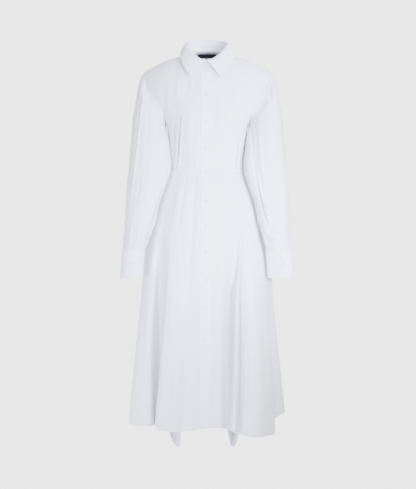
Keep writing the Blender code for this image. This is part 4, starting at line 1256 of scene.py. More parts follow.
print("sleeve creases:", {side: len(table) for side, table in SLEEVE_CREASES.items()})

# %% [markdown]
# A sleeve's grid is closed into a tube by merging its first and last column under the arm, where the real
# seam lies. Its columns lie closest in front and its rows above the cuff, and its end slips inside the cuff.

# %% Lay the sleeves
SLEEVE_COLUMNS = (50, 132)  # behind, in front
SLEEVE_ROWS = (66, 104)  # below and above the place where the loose rings start
SLUMP_START = 0.74
CUFF_TUCK = 0.015  # share of the sleeve over which it slips inside the cuff
CUFF_TUCK_IN = 0.035  # how much of the way to its middle the sleeve's end moves
CUFF_TUCK_DOWN = 0.003


def sleeve_columns(side):
    """Angles round a sleeve, from seam to seam."""
    behind, before = SLEEVE_COLUMNS
    columns = even(behind, -180.0, 0.0) + even(before, 0.0, 180.0)[1:]
    return columns if side < 0 else columns[::-1]


def lay_sleeve(node, side):
    below, above = SLEEVE_ROWS
    rows = even(below, 1.0, SLUMP_START) + even(above, SLUMP_START, 0.0)[1:]

    def surface(angle, s):
        point = sleeve_point(side, 180.0 if abs(angle) == 180.0 else angle, s)
        tucked = ease((s - 1 + CUFF_TUCK) / CUFF_TUCK)
        middle = sleeve_section(side, s)[0]
        middle.x *= side
        return point.lerp(middle, CUFF_TUCK_IN * tucked) - Vector((0, 0, CUFF_TUCK_DOWN * tucked))

    lay_cloth(node, surface, sleeve_columns(side), rows, SOFT_POPLIN, sewn=("low", "top"),
              joined=("low", "top"), closed=True,
              creases={FRONT: SLEEVE_CREASES[side], BACK: on_side(SLEEVE_BACK_CREASES, side)})


lay_sleeve("sleeve_left", -1)
lay_sleeve("sleeve_right", 1)

# %% [markdown]
# ## Cuffs
#
# A cuff is a folded, fused band that wraps the wrist and laps over its own start. It could be a ring with a
# step cut into it; as a strip that starts at one angle, goes once round and ends a wall further out, it laps
# as the real one does. It is firmer than the sleeve and stays nearly flat. The stitches near each edge press
# a shallow channel, and one wide hollow runs down it.

# %% Form and cloth of the cuffs
CUFF_DEPTH = 0.088
CUFF_RADIUS = 0.04  # about half its width
CUFF_SPREAD = 0.0062  # how much further out the cuff's lower edge lies
CUFF_START = 60  # degrees round from the outer edge, on the side that faces forward
CUFF_OVERLAP = 30
CUFF_END = CUFF_START + 360 + CUFF_OVERLAP
CUFF_COLUMNS, CUFF_ROWS = 150, 44
CUFF_TOPSTITCH = 0.0045  # from the cuff's edges to their stitches
CHANNEL_DEPTH = 0.00025
CHANNEL_WIDTH = 0.0016


def cuff_point(side, angle, drop):
    """A point on a cuff, drop metres below its seam. The end laps over the start, one wall out."""
    middle, half, depth = sleeve_section(side, 1.0)
    turn = math.radians(angle)
    share = drop / CUFF_DEPTH
    lap = (DOUBLED + LAY) * (angle / 360)
    width = half.x + lap
    x = middle.x + CUFF_SPREAD * share + width * math.cos(turn)
    y = middle.y - (depth + lap) * math.sin(turn)
    return Vector((side * x, y, middle.z - SEAM / 2 - drop))


def channel(distance):
    """The shallow channel of a row of stitches, at a distance from that row."""
    return CHANNEL_DEPTH * hump(distance, CHANNEL_WIDTH)


CUFF_CREASES = (
    # both cuffs: as in FRONT_CREASES
    (201, -595, 202, -655, 205, -761, 17.3, -7, 0),
    (-215, -595, -217, -655, -219, -761, 9, -2.4, 0),
)


def lay_cuff(node, side):
    def surface(angle, drop):
        here, facing = normal_of(lambda a, d: cuff_point(side, a, d), angle, drop, step=1e-4)
        rim = min(drop, CUFF_DEPTH - drop)
        lap = (CUFF_END - angle) * math.radians(1.0) * CUFF_RADIUS
        dip = channel(rim - CUFF_TOPSTITCH) + channel(lap - CUFF_TOPSTITCH)
        return here - facing * dip * side

    angles = even(CUFF_COLUMNS, CUFF_START, CUFF_END)
    drops = [CUFF_DEPTH * d for d in even(CUFF_ROWS, 1.0, 0.0)]
    lay_cloth(node, surface, angles if side < 0 else angles[::-1], drops, FIRM_POPLIN,
              wall=FOLDED_WALL, sewn=("low", "top", "left", "right"), creases={FRONT: CUFF_CREASES},
              wobble=0.0003)


lay_cuff("cuff_left", -1)
lay_cuff("cuff_right", 1)

# %% [markdown]
# ## Collar and its stand
#
# The stand is a doubled band that rises from the neckline; the leaf is a doubled, pointed piece that rolls
# over it. Both are topstitched a few millimetres from the edge. Rolling a flat collar by force would take a
# simulation, so one table gives the roll line and the leaf's edge at each angle round the neck. The leaf
# lifts a little off the shoulders, so its points cast small shadows.

# %% Form of the collar
COLLAR = Curve([
    # angle, roll x, roll y, roll z, edge x, edge y, edge z
    (0, 0.0025, -0.0770, -0.0185, 0.0460, -0.1010, -0.0745),
    (15, 0.0180, -0.0730, -0.0160, 0.0560, -0.0985, -0.0630),
    (30, 0.0330, -0.0620, -0.0050, 0.0660, -0.0910, -0.0480),
    (50, 0.0480, -0.0430, 0.0115, 0.0765, -0.0740, -0.0290),
    (70, 0.0590, -0.0180, 0.0310, 0.0845, -0.0480, -0.0100),
    (90, 0.0630, 0.0040, 0.0420, 0.0880, -0.0130, 0.0050),
    (120, 0.0540, 0.0330, 0.0500, 0.0820, 0.0330, 0.0050),
    (150, 0.0310, 0.0490, 0.0560, 0.0480, 0.0640, 0.0110),
    (180, 0.0000, 0.0540, 0.0580, 0.0000, 0.0730, 0.0140),
])
STAND_OVERLAP = 10  # degrees past the centre front on each side
STAND_LIFT = 0.0008  # of the stand above the neckline seam
LEAF_LIFT = 0.0011  # of the leaf's underside above the roll line
LEAF_TURN = 0.12  # share of the leaf that rolls over the stand
LEAF_SHELF = 0.0065  # how far outwards it goes in that share
LEAF_SHELF_DROP = 0.0012
LEAF_SWELL = 0.0020
COLLAR_TOPSTITCH = 0.0050


def collar_rows(angle):
    """The roll line and the leaf's edge at an angle round the neck, drifting with the closing."""
    folded, side = folded_angle(angle)
    row = COLLAR.at(folded)
    drift = Vector((neck_drift(angle), 0, 0))
    roll = Vector((side * row[0], row[1], row[2])) + drift
    edge = Vector((side * row[3], row[4], row[5])) + drift
    return roll, edge


def stand_point(angle, v):
    """The collar stand, from the neckline seam up to the roll line; its ends lap in front."""
    lap = (DOUBLED + LAY) * (angle / 360)
    spot = angle % 360
    x, z = neckline(spot)
    face = -1 if math.cos(math.radians(spot)) > 0 else 1
    low = Vector((x, face * torso_depth(x, z, face), z + STAND_LIFT))
    roll = collar_rows(spot)[0]
    if spot == 0:
        roll.x = x
    point = low.lerp(roll, v)
    out = Vector((point.x, point.y, 0)).normalized()
    return point + out * lap


def leaf_point(angle, v):
    """The collar leaf, from just above the stand's roll line out and down to its edge."""
    roll, edge = collar_rows(angle)
    lifted = roll + Vector((0, 0, LEAF_LIFT))
    out = Vector((roll.x, roll.y, 0)).normalized()
    shoulder = lifted + out * LEAF_SHELF - Vector((0, 0, LEAF_SHELF_DROP))
    if v < LEAF_TURN:
        return lifted.lerp(shoulder, v / LEAF_TURN)
    along = (v - LEAF_TURN) / (1 - LEAF_TURN)
    return shoulder.lerp(edge, along) + out * LEAF_SWELL * math.sin(math.pi * along)


print("the leaf's points reach down to", round(leaf_point(0.001, 1.0).z, 3), "m")

# %% Lay the stand and the leaf
LEAF_START, LEAF_END = 0.001, 359.999  # degrees; the leaf is open at the front
STAND_COLUMNS, STAND_ROWS = 190, 22
LEAF_COLUMNS, LEAF_ROWS = 210, 52


def lay_stand():
    reach = even(STAND_COLUMNS, -STAND_OVERLAP, 360 + STAND_OVERLAP)
    lay_cloth("collar_stand", stand_point, reach, even(STAND_ROWS), FIRM_POPLIN, wall=FOLDED_WALL,
              sewn=("low", "top", "left", "right"), wobble=0.0002)


def lay_leaf():
    def surface(angle, v):
        below, facing = normal_of(leaf_point, angle, v, step=1e-4)
        rim = (below - leaf_point(angle, 1.0)).length
        front = (below - leaf_point(LEAF_START if angle < 180 else LEAF_END, v)).length
        dip = channel(rim - COLLAR_TOPSTITCH)
        if rim > COLLAR_TOPSTITCH:
            dip = max(dip, channel(front - COLLAR_TOPSTITCH))
        return below - facing * (DOUBLED - dip)

    reach = even(LEAF_COLUMNS, LEAF_START, LEAF_END)
    lay_cloth("collar_leaf", surface, reach, even(LEAF_ROWS, 1.0, 0.0), FIRM_POPLIN,
              wall=FOLDED_WALL, sewn=("low", "left", "right"), wobble=0.0003)


lay_stand()
lay_leaf()

# %% [markdown]
# ## The form below the waist
#
# The skirt is four flared panels sewn into one ring at the waist. A cone with waves on it would look like a
# lampshade, because real folds differ in width, depth and place. So each fold is one row of a table: where it
# stands at the waist seam, at the hip and at the hem. A curve down each row, and another through all rows at
# each height, make a ring that widens from the waist into deep, uneven folds. Two rows behind end lower, as
# the drooping points of the back hem.

# %% Folds of the skirt
HIP_HALF_WIDTH = 0.182
HIP_FRONT = 0.146
HIP_BACK = 0.132
HIP_DROP = 0.166
CLOSING_DRIFT = -0.0008  # how far the front band's middle moves from the waist to the hip
MID_Z = -0.812
UPPER_HIP = 0.585  # how much of the way out to the hip the cloth is, half way down to it
SKIRT_STATIONS = (0.0, 0.10, 0.20, 0.55, 1.0)
SKIRT_FOLDS = (
    # name, angle at the waist, hollow at the hip, x and y at mid height, x, y and z at the hem
    ("centre front", 0, 0.0, -0.006, -0.172, -0.009, -0.185, -1.169),
    ("band edge", 8, 0.0, 0.011, -0.172, 0.008, -0.186, -1.166),
    ("panel", 15, 0.0, 0.042, -0.171, 0.046, -0.188, -1.167),
    ("hollow", 29, 0.001, 0.0765, -0.137, 0.064, -0.156, -1.174),
    ("ridge", 32, 0.0, 0.089, -0.166, 0.079, -0.172, -1.18),
    ("ridge edge", 34.5, 0.0, 0.0975, -0.163, 0.088, -0.172, -1.183),
    ("under edge", 36.5, 0.001, 0.099, -0.139, 0.0905, -0.149, -1.185),
    ("right panel", 40, 0.002, 0.111, -0.137, 0.104, -0.148, -1.191),
    ("right crest", 50, 0.0, 0.14, -0.145, 0.147, -0.164, -1.199),
    ("right slope", 62, 0.0, 0.174, -0.116, 0.192, -0.133, -1.196),
    ("right edge", 72, 0.001, 0.193, -0.083, 0.213, -0.102, -1.192),
    ("side hollow", 81, 0.003, 0.189, -0.052, 0.206, -0.064, -1.16),
    ("right side", 91, 0.0, 0.214, -0.005, 0.248, -0.005, -1.135),
    ("rear hollow", 103, 0.003, 0.201, 0.042, 0.222, 0.048, -1.15),
    ("rear crest", 114, 0.0, 0.19, 0.093, 0.208, 0.11, -1.17),
    ("rear dip", 126, 0.004, 0.148, 0.106, 0.156, 0.114, -1.18),
    ("point side", 136, 0.002, 0.118, 0.129, 0.111, 0.138, -1.202),
    ("right point", 143, 0.0, 0.097, 0.154, 0.095, 0.178, -1.26),
    ("right point", 149, 0.0, 0.086, 0.156, 0.081, 0.18, -1.269),
    ("point side", 156, 0.004, 0.064, 0.13, 0.062, 0.136, -1.2),
    ("back crest", 167, 0.0, 0.032, 0.15, 0.03, 0.168, -1.186),
    ("centre back", 180, 0.003, 0.0, 0.135, -0.002, 0.143, -1.184),
    ("back crest", 192, 0.0, -0.034, 0.15, -0.037, 0.168, -1.186),
    ("point side", 203, 0.004, -0.074, 0.13, -0.084, 0.138, -1.202),
    ("left point", 210, 0.0, -0.092, 0.156, -0.092, 0.18, -1.269),
    ("left point", 216, 0.0, -0.103, 0.155, -0.108, 0.178, -1.262),
    ("point side", 223, 0.002, -0.127, 0.128, -0.134, 0.137, -1.202),
    ("rear dip", 234, 0.004, -0.152, 0.103, -0.162, 0.111, -1.18),
    ("rear crest", 246, 0.0, -0.191, 0.088, -0.212, 0.102, -1.173),
    ("rear hollow", 258, 0.003, -0.2, 0.04, -0.223, 0.044, -1.164),
    ("left side", 272, 0.0, -0.214, -0.058, -0.249, -0.07, -1.164),
    ("left flute", 288, 0.0, -0.197, -0.088, -0.221, -0.106, -1.17),
    ("flute edge", 302, 0.001, -0.174, -0.1, -0.177, -0.116, -1.168),
    ("left hollow", 311, 0.003, -0.154, -0.074, -0.164, -0.082, -1.164),
    ("panel edge", 318, 0.001, -0.135, -0.142, -0.162, -0.156, -1.164),
    ("left panel", 324, 0.0, -0.122, -0.164, -0.148, -0.179, -1.176),
    ("left crest", 335, 0.0, -0.09, -0.172, -0.101, -0.186, -1.18),
    ("soft dip", 345, 0.002, -0.054, -0.168, -0.058, -0.181, -1.177),
    ("band edge", 352, 0.0, -0.023, -0.172, -0.026, -0.184, -1.171),
)
CLOSING_ROWS = {0: 0.0, 1: 0.5, -1: -0.5}  # rows along the band: how many of its widths from its middle
RIGHT_SIDE_ROW = 12  # rows where the long seams of the skirt lie
BACK_ROW = 21
LEFT_SIDE_ROW = 30
print("skirt folds:", len(SKIRT_FOLDS))

# %% [markdown]
# A fold's line starts on the waist seam, so that skirt and bodice meet, and passes over the hip, which is an
# ellipse. Half way down to the hip the cloth is already further out than half way, because it springs from
# the waist.

# %% Lines down the folds
def waist_point(x, face):
    """A point of the waist seam, in front (face -1) or behind."""
    return np.array((x, face * torso_depth(x, waist_z(x), face), waist_z(x)))


def hip_point(x, face, hollow):
    """A point of the cloth over the hip, sunk in by a hollow."""
    depth = (HIP_FRONT if face < 0 else HIP_BACK) - 2 * hollow
    y = face * depth * math.sqrt(max(0.0, 1 - (x / HIP_HALF_WIDTH) ** 2))
    return np.array((x, y, WAIST_Z - HIP_DROP))


def fold_line(number, row):
    """One fold's line down the skirt, from the waist to the hem."""
    _, angle, hollow, mid_x, mid_y, hem_x, hem_y, hem_z = row
    turn = math.radians(angle)
    face = -1 if math.cos(turn) > 0 else 1
    waist_x, hip_x = TORSO.at(WAIST_Z)[0] * math.sin(turn), HIP_HALF_WIDTH * math.sin(turn)
    offset = CLOSING_ROWS.get(number - len(SKIRT_FOLDS) if number > 1 else number)
    if offset is not None:
        waist_x = centre_x(WAIST_Z) + offset * BAND_WIDTH
        hip_x = waist_x + CLOSING_DRIFT
    waist = waist_point(waist_x, face)
    hip = hip_point(hip_x, face, hollow)
    upper = blend(waist, hip, UPPER_HIP)
    upper[2] = blend(waist[2], hip[2], 0.5)
    stops = (waist, upper, hip, (mid_x, mid_y, MID_Z), (hem_x, hem_y, hem_z))
    return Curve([(s, *stop) for s, stop in zip(SKIRT_STATIONS, stops)])


FOLD_LINES = [fold_line(number, row) for number, row in enumerate(SKIRT_FOLDS)]
print("the front band's line at the hem:", [round(n, 3) for n in FOLD_LINES[0].at(1.0)])

# %% [markdown]
# The ring at any height is one closed curve through all the lines. Its places are spread by the distances
# along the hem, softened by a square root, so that close folds keep room for a smooth curve. Its first and
# last rows are repeated past the ends, so it closes smoothly.

# %% The ring
WRAPPED_ROWS = 3


def fold_places():
    """Where each fold lies along the hem, close ones far enough apart for a smooth curve."""
    hems = [Vector(row[-3:]) for row in SKIRT_FOLDS]
    places = [0.0]
    for here, there in zip(hems, hems[1:] + hems[:1]):
        places.append(places[-1] + math.sqrt((there - here).length))
    return places


FOLD_PLACES = fold_places()
WHOLE_RING = FOLD_PLACES[-1]


@functools.lru_cache(maxsize=None)
def skirt_ring(s):
    """The closed curve of the cloth at s, through every fold's line."""
    points = [line.at(s) for line in FOLD_LINES]
    starts = FOLD_PLACES[:-1]
    rows = [(starts[i] - WHOLE_RING, *points[i]) for i in range(-WRAPPED_ROWS, 0)]
    rows += [(place, *point) for place, point in zip(starts, points)]
    rows += [(starts[i] + WHOLE_RING, *points[i]) for i in range(WRAPPED_ROWS)]
    return Curve(rows)


def skirt_point(place, s):
    """A point of the skirt: place round the ring, s from the waist down; near heights share one ring."""
    return Vector(skirt_ring(round(min(max(s, 0.0), 1.0), 6)).at(place))


print("centre back at the hem:", [round(n, 3) for n in skirt_point(FOLD_PLACES[BACK_ROW], 1.0)])

# %% [markdown]
# The deep folds come from the form. The finer ones are creases again: pressed lines that run down from the
# waist, soft V-shaped dents over the hips where the cloth is pulled between two folds, and shadows near the
# hem, cast by troughs and, where a trough is narrow and deep, painted into the cloth's colour as well. The back
# repeats the same kinds.

# %% Lay the skirt
SKIRT_CREASES = (
    # as in FRONT_CREASES
    (-117, -586, -131, -850, -161, -1144, 4.8, 4.4, 0.4),
    (-133, -598, -146, -865, -167, -1157, 7.7, -17, -0.3),
    (-110, -629, -112, -881, -122, -1157, 10.2, 3.6, 0.2),
    (-93, -654, -96, -881, -107, -1144, 5.8, -3, -0.2),
    (-60, -629, -63, -881, -72, -1169, 17.6, -4, 0),
    (-38, -487, -51, -605, -57, -753, 7, -3.4, 0.2),
    (-85, -549, -77, -636, -66, -760, 6.4, -3, -0.2),
    (-23, -468, -35, -561, -45, -660, 6.4, 1.8, 0),
    (79, -642, 74, -865, 63, -1181, 10.9, -20, -0.2),
    (92, -642, 90, -884, 86, -1175, 2.9, 6, -0.2),
    (102, -586, 102, -877, 97, -1237, 2.6, -4.5, 0.2),
    (107, -865, 110, -1070, 107, -1274, 12.2, -6, 0),
    (120, -760, 123, -974, 114, -1243, 8.3, -3.4, 0.3),
    (157, -760, 163, -974, 169, -1243, 12.8, 2.6, 0),
    (-76, -1045, -74, -1138, -79, -1274, 12.8, -5, 0),
    (36, -378, 42, -431, 47, -530, 4.8, -1.8, 0),
    (67, -378, 76, -437, 92, -543, 5.1, -1.8, 0.2),
    (55, -388, 61, -462, 67, -574, 7, 1.8, 0),
    (-35, -378, -41, -437, -52, -524, 5.1, -2.2, 0),
    (-66, -378, -77, -447, -93, -555, 5.4, -2.6, 0.3),
    (-85, -400, -96, -468, -110, -567, 6.4, 2.2, 0.2),
    (98, -388, 114, -456, 132, -555, 5.8, -2.2, 0.3),
    (21, -512, 25, -679, 24, -896, 5.8, -2.4, 0),
    (-187, -760, -190, -927, -206, -1157, 8.3, 2.8, 0),
    (225, -977, 228, -1057, 228, -1144, 5.1, 2, 0),
    (-10, -884, -23, -1020, -32, -1219, 9.6, -2.4, 0),
    (45, -760, 42, -927, 36, -1175, 8.3, 2.4, 0),
)
SKIRT_BACK_CREASES = (
    # as in FRONT_CREASES
    (-60, -420, -78, -640, -100, -900, 10, 4, 0.4),
    (52, -410, 70, -620, 90, -860, 10, 4, -0.4),
    (-20, -480, -30, -700, -26, -940, 12, -4, 0.3),
    (20, -500, 30, -760, 34, -1000, 12, -4, -0.3),
    (-110, -440, -104, -500, -70, -560, 10, 2.5, 0.4),
    (112, -450, 100, -520, 66, -580, 10, 2.5, -0.4),
    (-85, -960, -100, -1080, -104, -1200, 9, -4, 0.4),
    (78, -940, 92, -1060, 94, -1190, 9, -4, -0.4),
    (84.5, -1150, 84, -1215, 82, -1300, 3.2, -5, 0),
    (93.5, -1140, 93, -1220, 91, -1310, 3, -4, 0),
    (-104, -1160, -105, -1220, -106, -1300, 3, -2.5, 0),
)
SKIRT_COLUMNS = {"front": 0.0034, "back": 0.0060}  # metres at the hem
SKIRT_ROWS = 128


def skirt_columns(first, last, step):
    """Places round the ring between two of its folds, about evenly spaced at the hem."""
    places = []
    for start, end in zip(FOLD_PLACES[first:last], FOLD_PLACES[first + 1 : last + 1]):
        width = (skirt_point(end, 1.0) - skirt_point(start, 1.0)).length
        count = max(2, math.ceil(width / step))
        places += [start + (end - start) * n / count for n in range(count)]
    return places + [FOLD_PLACES[last]]


def lay_skirt(node, first, last):
    """The cloth of one panel, between the folds where its two long seams lie."""
    columns = skirt_columns(first, last, SKIRT_COLUMNS["front" if "front" in node else "back"])
    lay_cloth(node, skirt_point, columns, even(SKIRT_ROWS, 1.0, 0.0), SOFT_POPLIN,
              sewn=("low", "top"), joined=("top",), creases={FRONT: SKIRT_CREASES, BACK: SKIRT_BACK_CREASES})


lay_skirt("skirt_front_right", 0, RIGHT_SIDE_ROW)
lay_skirt("skirt_back_right", RIGHT_SIDE_ROW, BACK_ROW)
lay_skirt("skirt_back_left", BACK_ROW, LEFT_SIDE_ROW)
lay_skirt("skirt_front_left", LEFT_SIDE_ROW, len(SKIRT_FOLDS))

# %% [markdown]
# ## The front band
#
# The band is a doubled strip that runs over the waist seam from collar to hem. Its two folded edges are
# topstitched, and between them it lies flatter than the cloth around it, so it catches more light. A strip
# shrink-wrapped onto the fronts would fall into their creases; this one follows the smooth form below them
# and stands a millimetre proud of it.

# %% Lay the front band
BAND_TOPSTITCH = 0.0050
BAND_COLUMNS = 20
BAND_ROW = 0.0022  # metres
BAND_PROUD = 0.0010  # from the fronts to the band's outer side
BAND_WALL = 0.0007


def halve(below, high, halvings):
    """The place between 0 and high up to which below(place) is true, found by halving."""
    low = 0.0
    for _ in range(halvings):
        middle = (low + high) / 2
        if below(middle):
            low = middle
        else:
            high = middle
    return low


def closing_point(u, rise):
    """On the two fronts: u across the band from -1 to 1; rise 0 at the hem, 1 waist, 2 neckline."""
    if rise <= 1:
        reach = FOLD_PLACES[1] if u > 0 else WHOLE_RING - FOLD_PLACES[-2]
        return skirt_point(reach * u, 1 - rise)
    return front_point(BAND_SHARE * u or SIDE_NUDGE, NECK_START * (rise - 1))


def closing_rise(z):
    """How far up the closing the height z lies."""
    return halve(lambda rise: closing_point(0.0, rise)[2] < z, high=2.0, halvings=30)


band_surface = moved_out(closing_point, BAND_PROUD)


def lay_band():
    def surface(u, rise):
        here, facing = normal_of(band_surface, u, rise)
        edge = (1 - abs(u)) * BAND_WIDTH / 2
        return here - facing * channel(edge - BAND_TOPSTITCH)

    skirt_rows = round((WAIST_Z - MID_Z) * 2 / BAND_ROW)
    rows = even(skirt_rows, 0.0, 1.0) + even(round(-WAIST_Z / BAND_ROW), 1.0, 2 - BAND_TRIM)[1:]
    lay_cloth("placket", surface, even(BAND_COLUMNS, -1.0, 1.0), rows, FIRM_POPLIN, wall=BAND_WALL,
              sewn=("left", "right", "low"), wobble=0.0002)


lay_band()

# %% [markdown]
# ## Sewing thread
#
# Every edge of a shirt shows a row of small even stitches. A line drawn in the material would look printed,
# and a curve for each thread would be heavy, so each stitch is one stretched icosphere of twenty faces, sunk
# a little into the cloth. The thread itself is polished cotton whose twist runs across each stitch.

# %% Thread material
def thread_material():
    """Polished cotton thread with its twist as a fine relief."""
    material, tree, shader = new_material("white thread")
    place = add_node(tree, "ShaderNodeTexCoord").outputs["Object"]
    twist = add_node(tree, "ShaderNodeTexNoise", Vector=place, Scale=2600.0, Detail=2.0).outputs["Fac"]
    set_inputs(
        tree,
        shader,
        Base_Color=colour_between(tree, twist, (0.80, 0.81, 0.85, 1.0), (0.90, 0.90, 0.93, 1.0)),
        Normal=relief(tree, twist, strength=0.6, distance=0.0001),
        Roughness=0.55,
        Sheen_Weight=0.1,
    )
    return material


THREAD_WHITE = thread_material()
print("thread:", THREAD_WHITE.name)

# %% [markdown]
# A row of stitches follows a guide line. The tree of the cloth below it gives the exact place and slope of
# every stitch, so the rows keep to creases that the guide line doesn't know.

# %% Sewing helpers
STITCH_PITCH = 0.0030
STITCH_SIZE = (0.0023, 0.00050, 0.00040)  # length, width, height
STITCH_SINK = 0.00005  # of its middle above the cloth


def place_stitch(bm, centre, along, facing, size=STITCH_SIZE):
    """One stitch, lying along the cloth that faces this way."""
    across = facing.cross(along).normalized()
    turn = Matrix((along, across, facing)).transposed().to_4x4()
    shape = Matrix.Translation(centre) @ turn @ Matrix.Diagonal((*size, 1.0))
    bmesh.ops.create_icosphere(bm, subdivisions=1, radius=0.5, matrix=shape)


def on_cloth(point, nodes):
    """The nearest place on the named pieces, and the way the cloth faces there."""
    hits = [TREES[node].find_nearest(point) for node in nodes]
    place, facing, _, _ = min(hits, key=lambda hit: hit[3])
    return place, facing


def spaced(points, pitch):
    """Places at an even pitch along a line of points."""
    places, left = [], pitch / 2
    for start, end in zip(points, points[1:]):
        length = (end - start).length
        while left < length:
            places.append(start.lerp(end, left / length))
            left += pitch
        left -= length
    return places


def sew(bm, points, nodes):
    """A row of stitches along a guide line, on the named pieces."""
    row = [on_cloth(point, nodes) for point in spaced([Vector(p) for p in points], STITCH_PITCH)]
    for (place, facing), (after, _) in zip(row, row[1:]):
        along = after - place
        along = (along - facing * along.dot(facing)).normalized()
        place_stitch(bm, place.lerp(after, 0.5) + facing * STITCH_SINK, along, facing)
    return len(row) - 1


def sew_rows(name, rows):
    """One piece of thread from rows of a guide line and the pieces below it; gives its stitches."""
    bm = bmesh.new()
    count = sum(sew(bm, line, nodes) for line, nodes in rows)
    finish_piece(f"stitches_{name}", bm, THREAD_WHITE, [])
    return count


def at_distance(line, distance):
    """The share of a line, 0 to 1, whose point lies this far from its start."""
    start = Vector(line(0.0))
    return halve(lambda share: (Vector(line(share)) - start).length < distance, high=1.0, halvings=24)


print("a stitch every", 1000 * STITCH_PITCH, "mm")

# %% [markdown]
# The rows that show most are those of the band, the collar, the stand and the cuffs. Each keeps its own small
# distance from the folded edge, as a sewing machine's foot does, and turns the corners without a break.

# %% Sew band, collar and cuffs
BAND_ROW_START, BAND_ROW_END = 0.004, 0.010  # rise left free at the hem, and below the collar
STAND_STITCH_ROWS = (0.14, 0.86)  # shares of the stand's height
STAND_REACH = STAND_OVERLAP - 2  # degrees past the centre front
LEAF_SIDE = (0.20, 0.93)  # stretch of the leaf's front edges with stitches
LEAF_CORNER = 6.0  # degrees where the row turns the corner of the leaf
LEAF_FRONT = 60.0  # degrees within which its front edge lies
CUFF_TURN = 7  # degrees from the end of a cuff to its stitches
CUFF_ROW_START = CUFF_START + CUFF_OVERLAP + 4  # just past the lap


def band_rows():
    reach = 1 - 2 * BAND_TOPSTITCH / BAND_WIDTH
    rises = even(500, BAND_ROW_START, 2 - BAND_TRIM - BAND_ROW_END)
    return [([band_surface(side * reach, rise) for rise in rises], ["placket"]) for side in (-1, 1)]


def leaf_rows():
    def rim(angle):
        share = at_distance(lambda t: leaf_point(angle, 1 - t), COLLAR_TOPSTITCH)
        return leaf_point(angle, 1 - share)

    def front_edge(v, first, last):
        share = at_distance(lambda t: leaf_point(blend(first, last, t), v), COLLAR_TOPSTITCH)
        return leaf_point(blend(first, last, share), v)

    lengths = even(30, *LEAF_SIDE)
    line = [front_edge(v, LEAF_START, LEAF_FRONT) for v in lengths]
    line += [rim(angle) for angle in even(200, LEAF_CORNER, 360.0 - LEAF_CORNER)]
    line += [front_edge(v, LEAF_END, 360.0 - LEAF_FRONT) for v in reversed(lengths)]
    return [(line, ["collar_leaf"])]


def stand_rows():
    angles = even(200, -STAND_REACH, 360 + STAND_REACH)
    return [([stand_point(angle, v) for angle in angles], ["collar_stand"]) for v in STAND_STITCH_ROWS]


def cuff_rows(side):
    node = "cuff_left" if side < 0 else "cuff_right"
    last = CUFF_END - CUFF_TURN
    high, low = CUFF_TOPSTITCH, CUFF_DEPTH - CUFF_TOPSTITCH
    angles = even(160, CUFF_ROW_START, last)
    lines = [[cuff_point(side, angle, drop) for angle in angles] for drop in (high, low)]
    lines.append([cuff_point(side, last, drop) for drop in even(40, high, low)])
    return [(line, [node]) for line in lines]


for name, rows in (("band", band_rows()), ("collar", leaf_rows()), ("stand", stand_rows()),
                   ("cuff_left", cuff_rows(-1)), ("cuff_right", cuff_rows(1))):
    print(f"stitches of {name}:", sew_rows(name, rows))

# %% [markdown]
# Then come the long seams: armholes and shoulders, yoke, waist, and the narrow hem. Their rows lie on the
# piece that the seam allowances are pressed to.

# %% Sew the long seams
SKIRT_NODES = ["skirt_front_left", "skirt_front_right", "skirt_back_left", "skirt_back_right"]
BODICE_NODES = ["bodice_front_left", "bodice_front_right", "bodice_back", "yoke"]
SEAM_TOPSTITCH = 0.0045
ARMHOLE_END = 4.0  # degrees left free at each side of the shoulder seam
YOKE_ROW = 0.05  # share of the yoke's height
SHOULDER_ROW = 0.985  # share of a front's height
SEAM_END = 0.97  # share of a seam's length with stitches
COLLAR_CLEARANCE = 0.12  # share of the shoulder seam under the collar
WAIST_ROW = 0.0035  # share of the skirt's length
WAIST_CLEARANCE = 0.6  # band widths left free at each side of the closing
HEM_CLEARANCE = 1.1  # the same at the hem, in half widths
HEM_DEPTH = 0.012
SEARCH_SHARE = 20  # the waist row starts in this part of the ring


def armhole_rows():
    for side in (-1, 1):
        line = []
        for angle in even(180, ARMHOLE_END, 360.0 - ARMHOLE_END):
            x, z = armhole(angle)
            x -= SEAM_TOPSTITCH
            face = -1 if angle < 180 else 1
            line.append((side * x, face * torso_depth(x, z, face), z))
        yield line, BODICE_NODES


def yoke_rows():
    yield [yoke_point(u, YOKE_ROW) for u in even(120, -SEAM_END, SEAM_END)], ["yoke"]
    for side in (-1, 1):
        shares = even(60, BAND_SHARE + COLLAR_CLEARANCE, SEAM_END)
        yield [front_point(side * u, SHOULDER_ROW) for u in shares], BODICE_NODES[:2]


def skirt_rows():
    edge = BAND_WIDTH * WAIST_CLEARANCE
    share = at_distance(lambda t: skirt_point(WHOLE_RING * t / SEARCH_SHARE, 0.0), edge) / SEARCH_SHARE
    first, last = WHOLE_RING * share, WHOLE_RING * (1 - share)
    yield [skirt_point(place, WAIST_ROW) for place in even(400, first, last)], SKIRT_NODES
    rise = HEM_DEPTH / (WAIST_Z - SKIRT_FOLDS[0][-1])
    first = FOLD_PLACES[1] * HEM_CLEARANCE
    last = WHOLE_RING - (WHOLE_RING - FOLD_PLACES[-2]) * HEM_CLEARANCE
    yield [skirt_point(place, 1 - rise) for place in even(900, first, last)], SKIRT_NODES


for name, rows in (("armholes", armhole_rows()), ("yoke", yoke_rows()), ("skirt", skirt_rows())):
    print(f"stitches of {name}:", sew_rows(name, rows))

# %% [markdown]
# ## Buttonholes
#
# A buttonhole is a slit edged all round with close short stitches, with a bar across each end. On the band
# the slits run up and down under the buttons, so a few millimetres show above and below each one. Cutting
# real slits would add nothing that shows, so the stitches alone mark them.

# %% Places of the buttons
STAND_BUTTON_Z = -0.0290
BAND_BUTTONS = (
    -0.0560, -0.1290, -0.2120, -0.2980, -0.3740, -0.4640,
    -0.5430, -0.6260, -0.7110, -0.7970, -0.8940,
)
CUFF_BUTTON_INSET = 12  # degrees from the edge that laps over
CUFF_BUTTON_DROP = 0.044


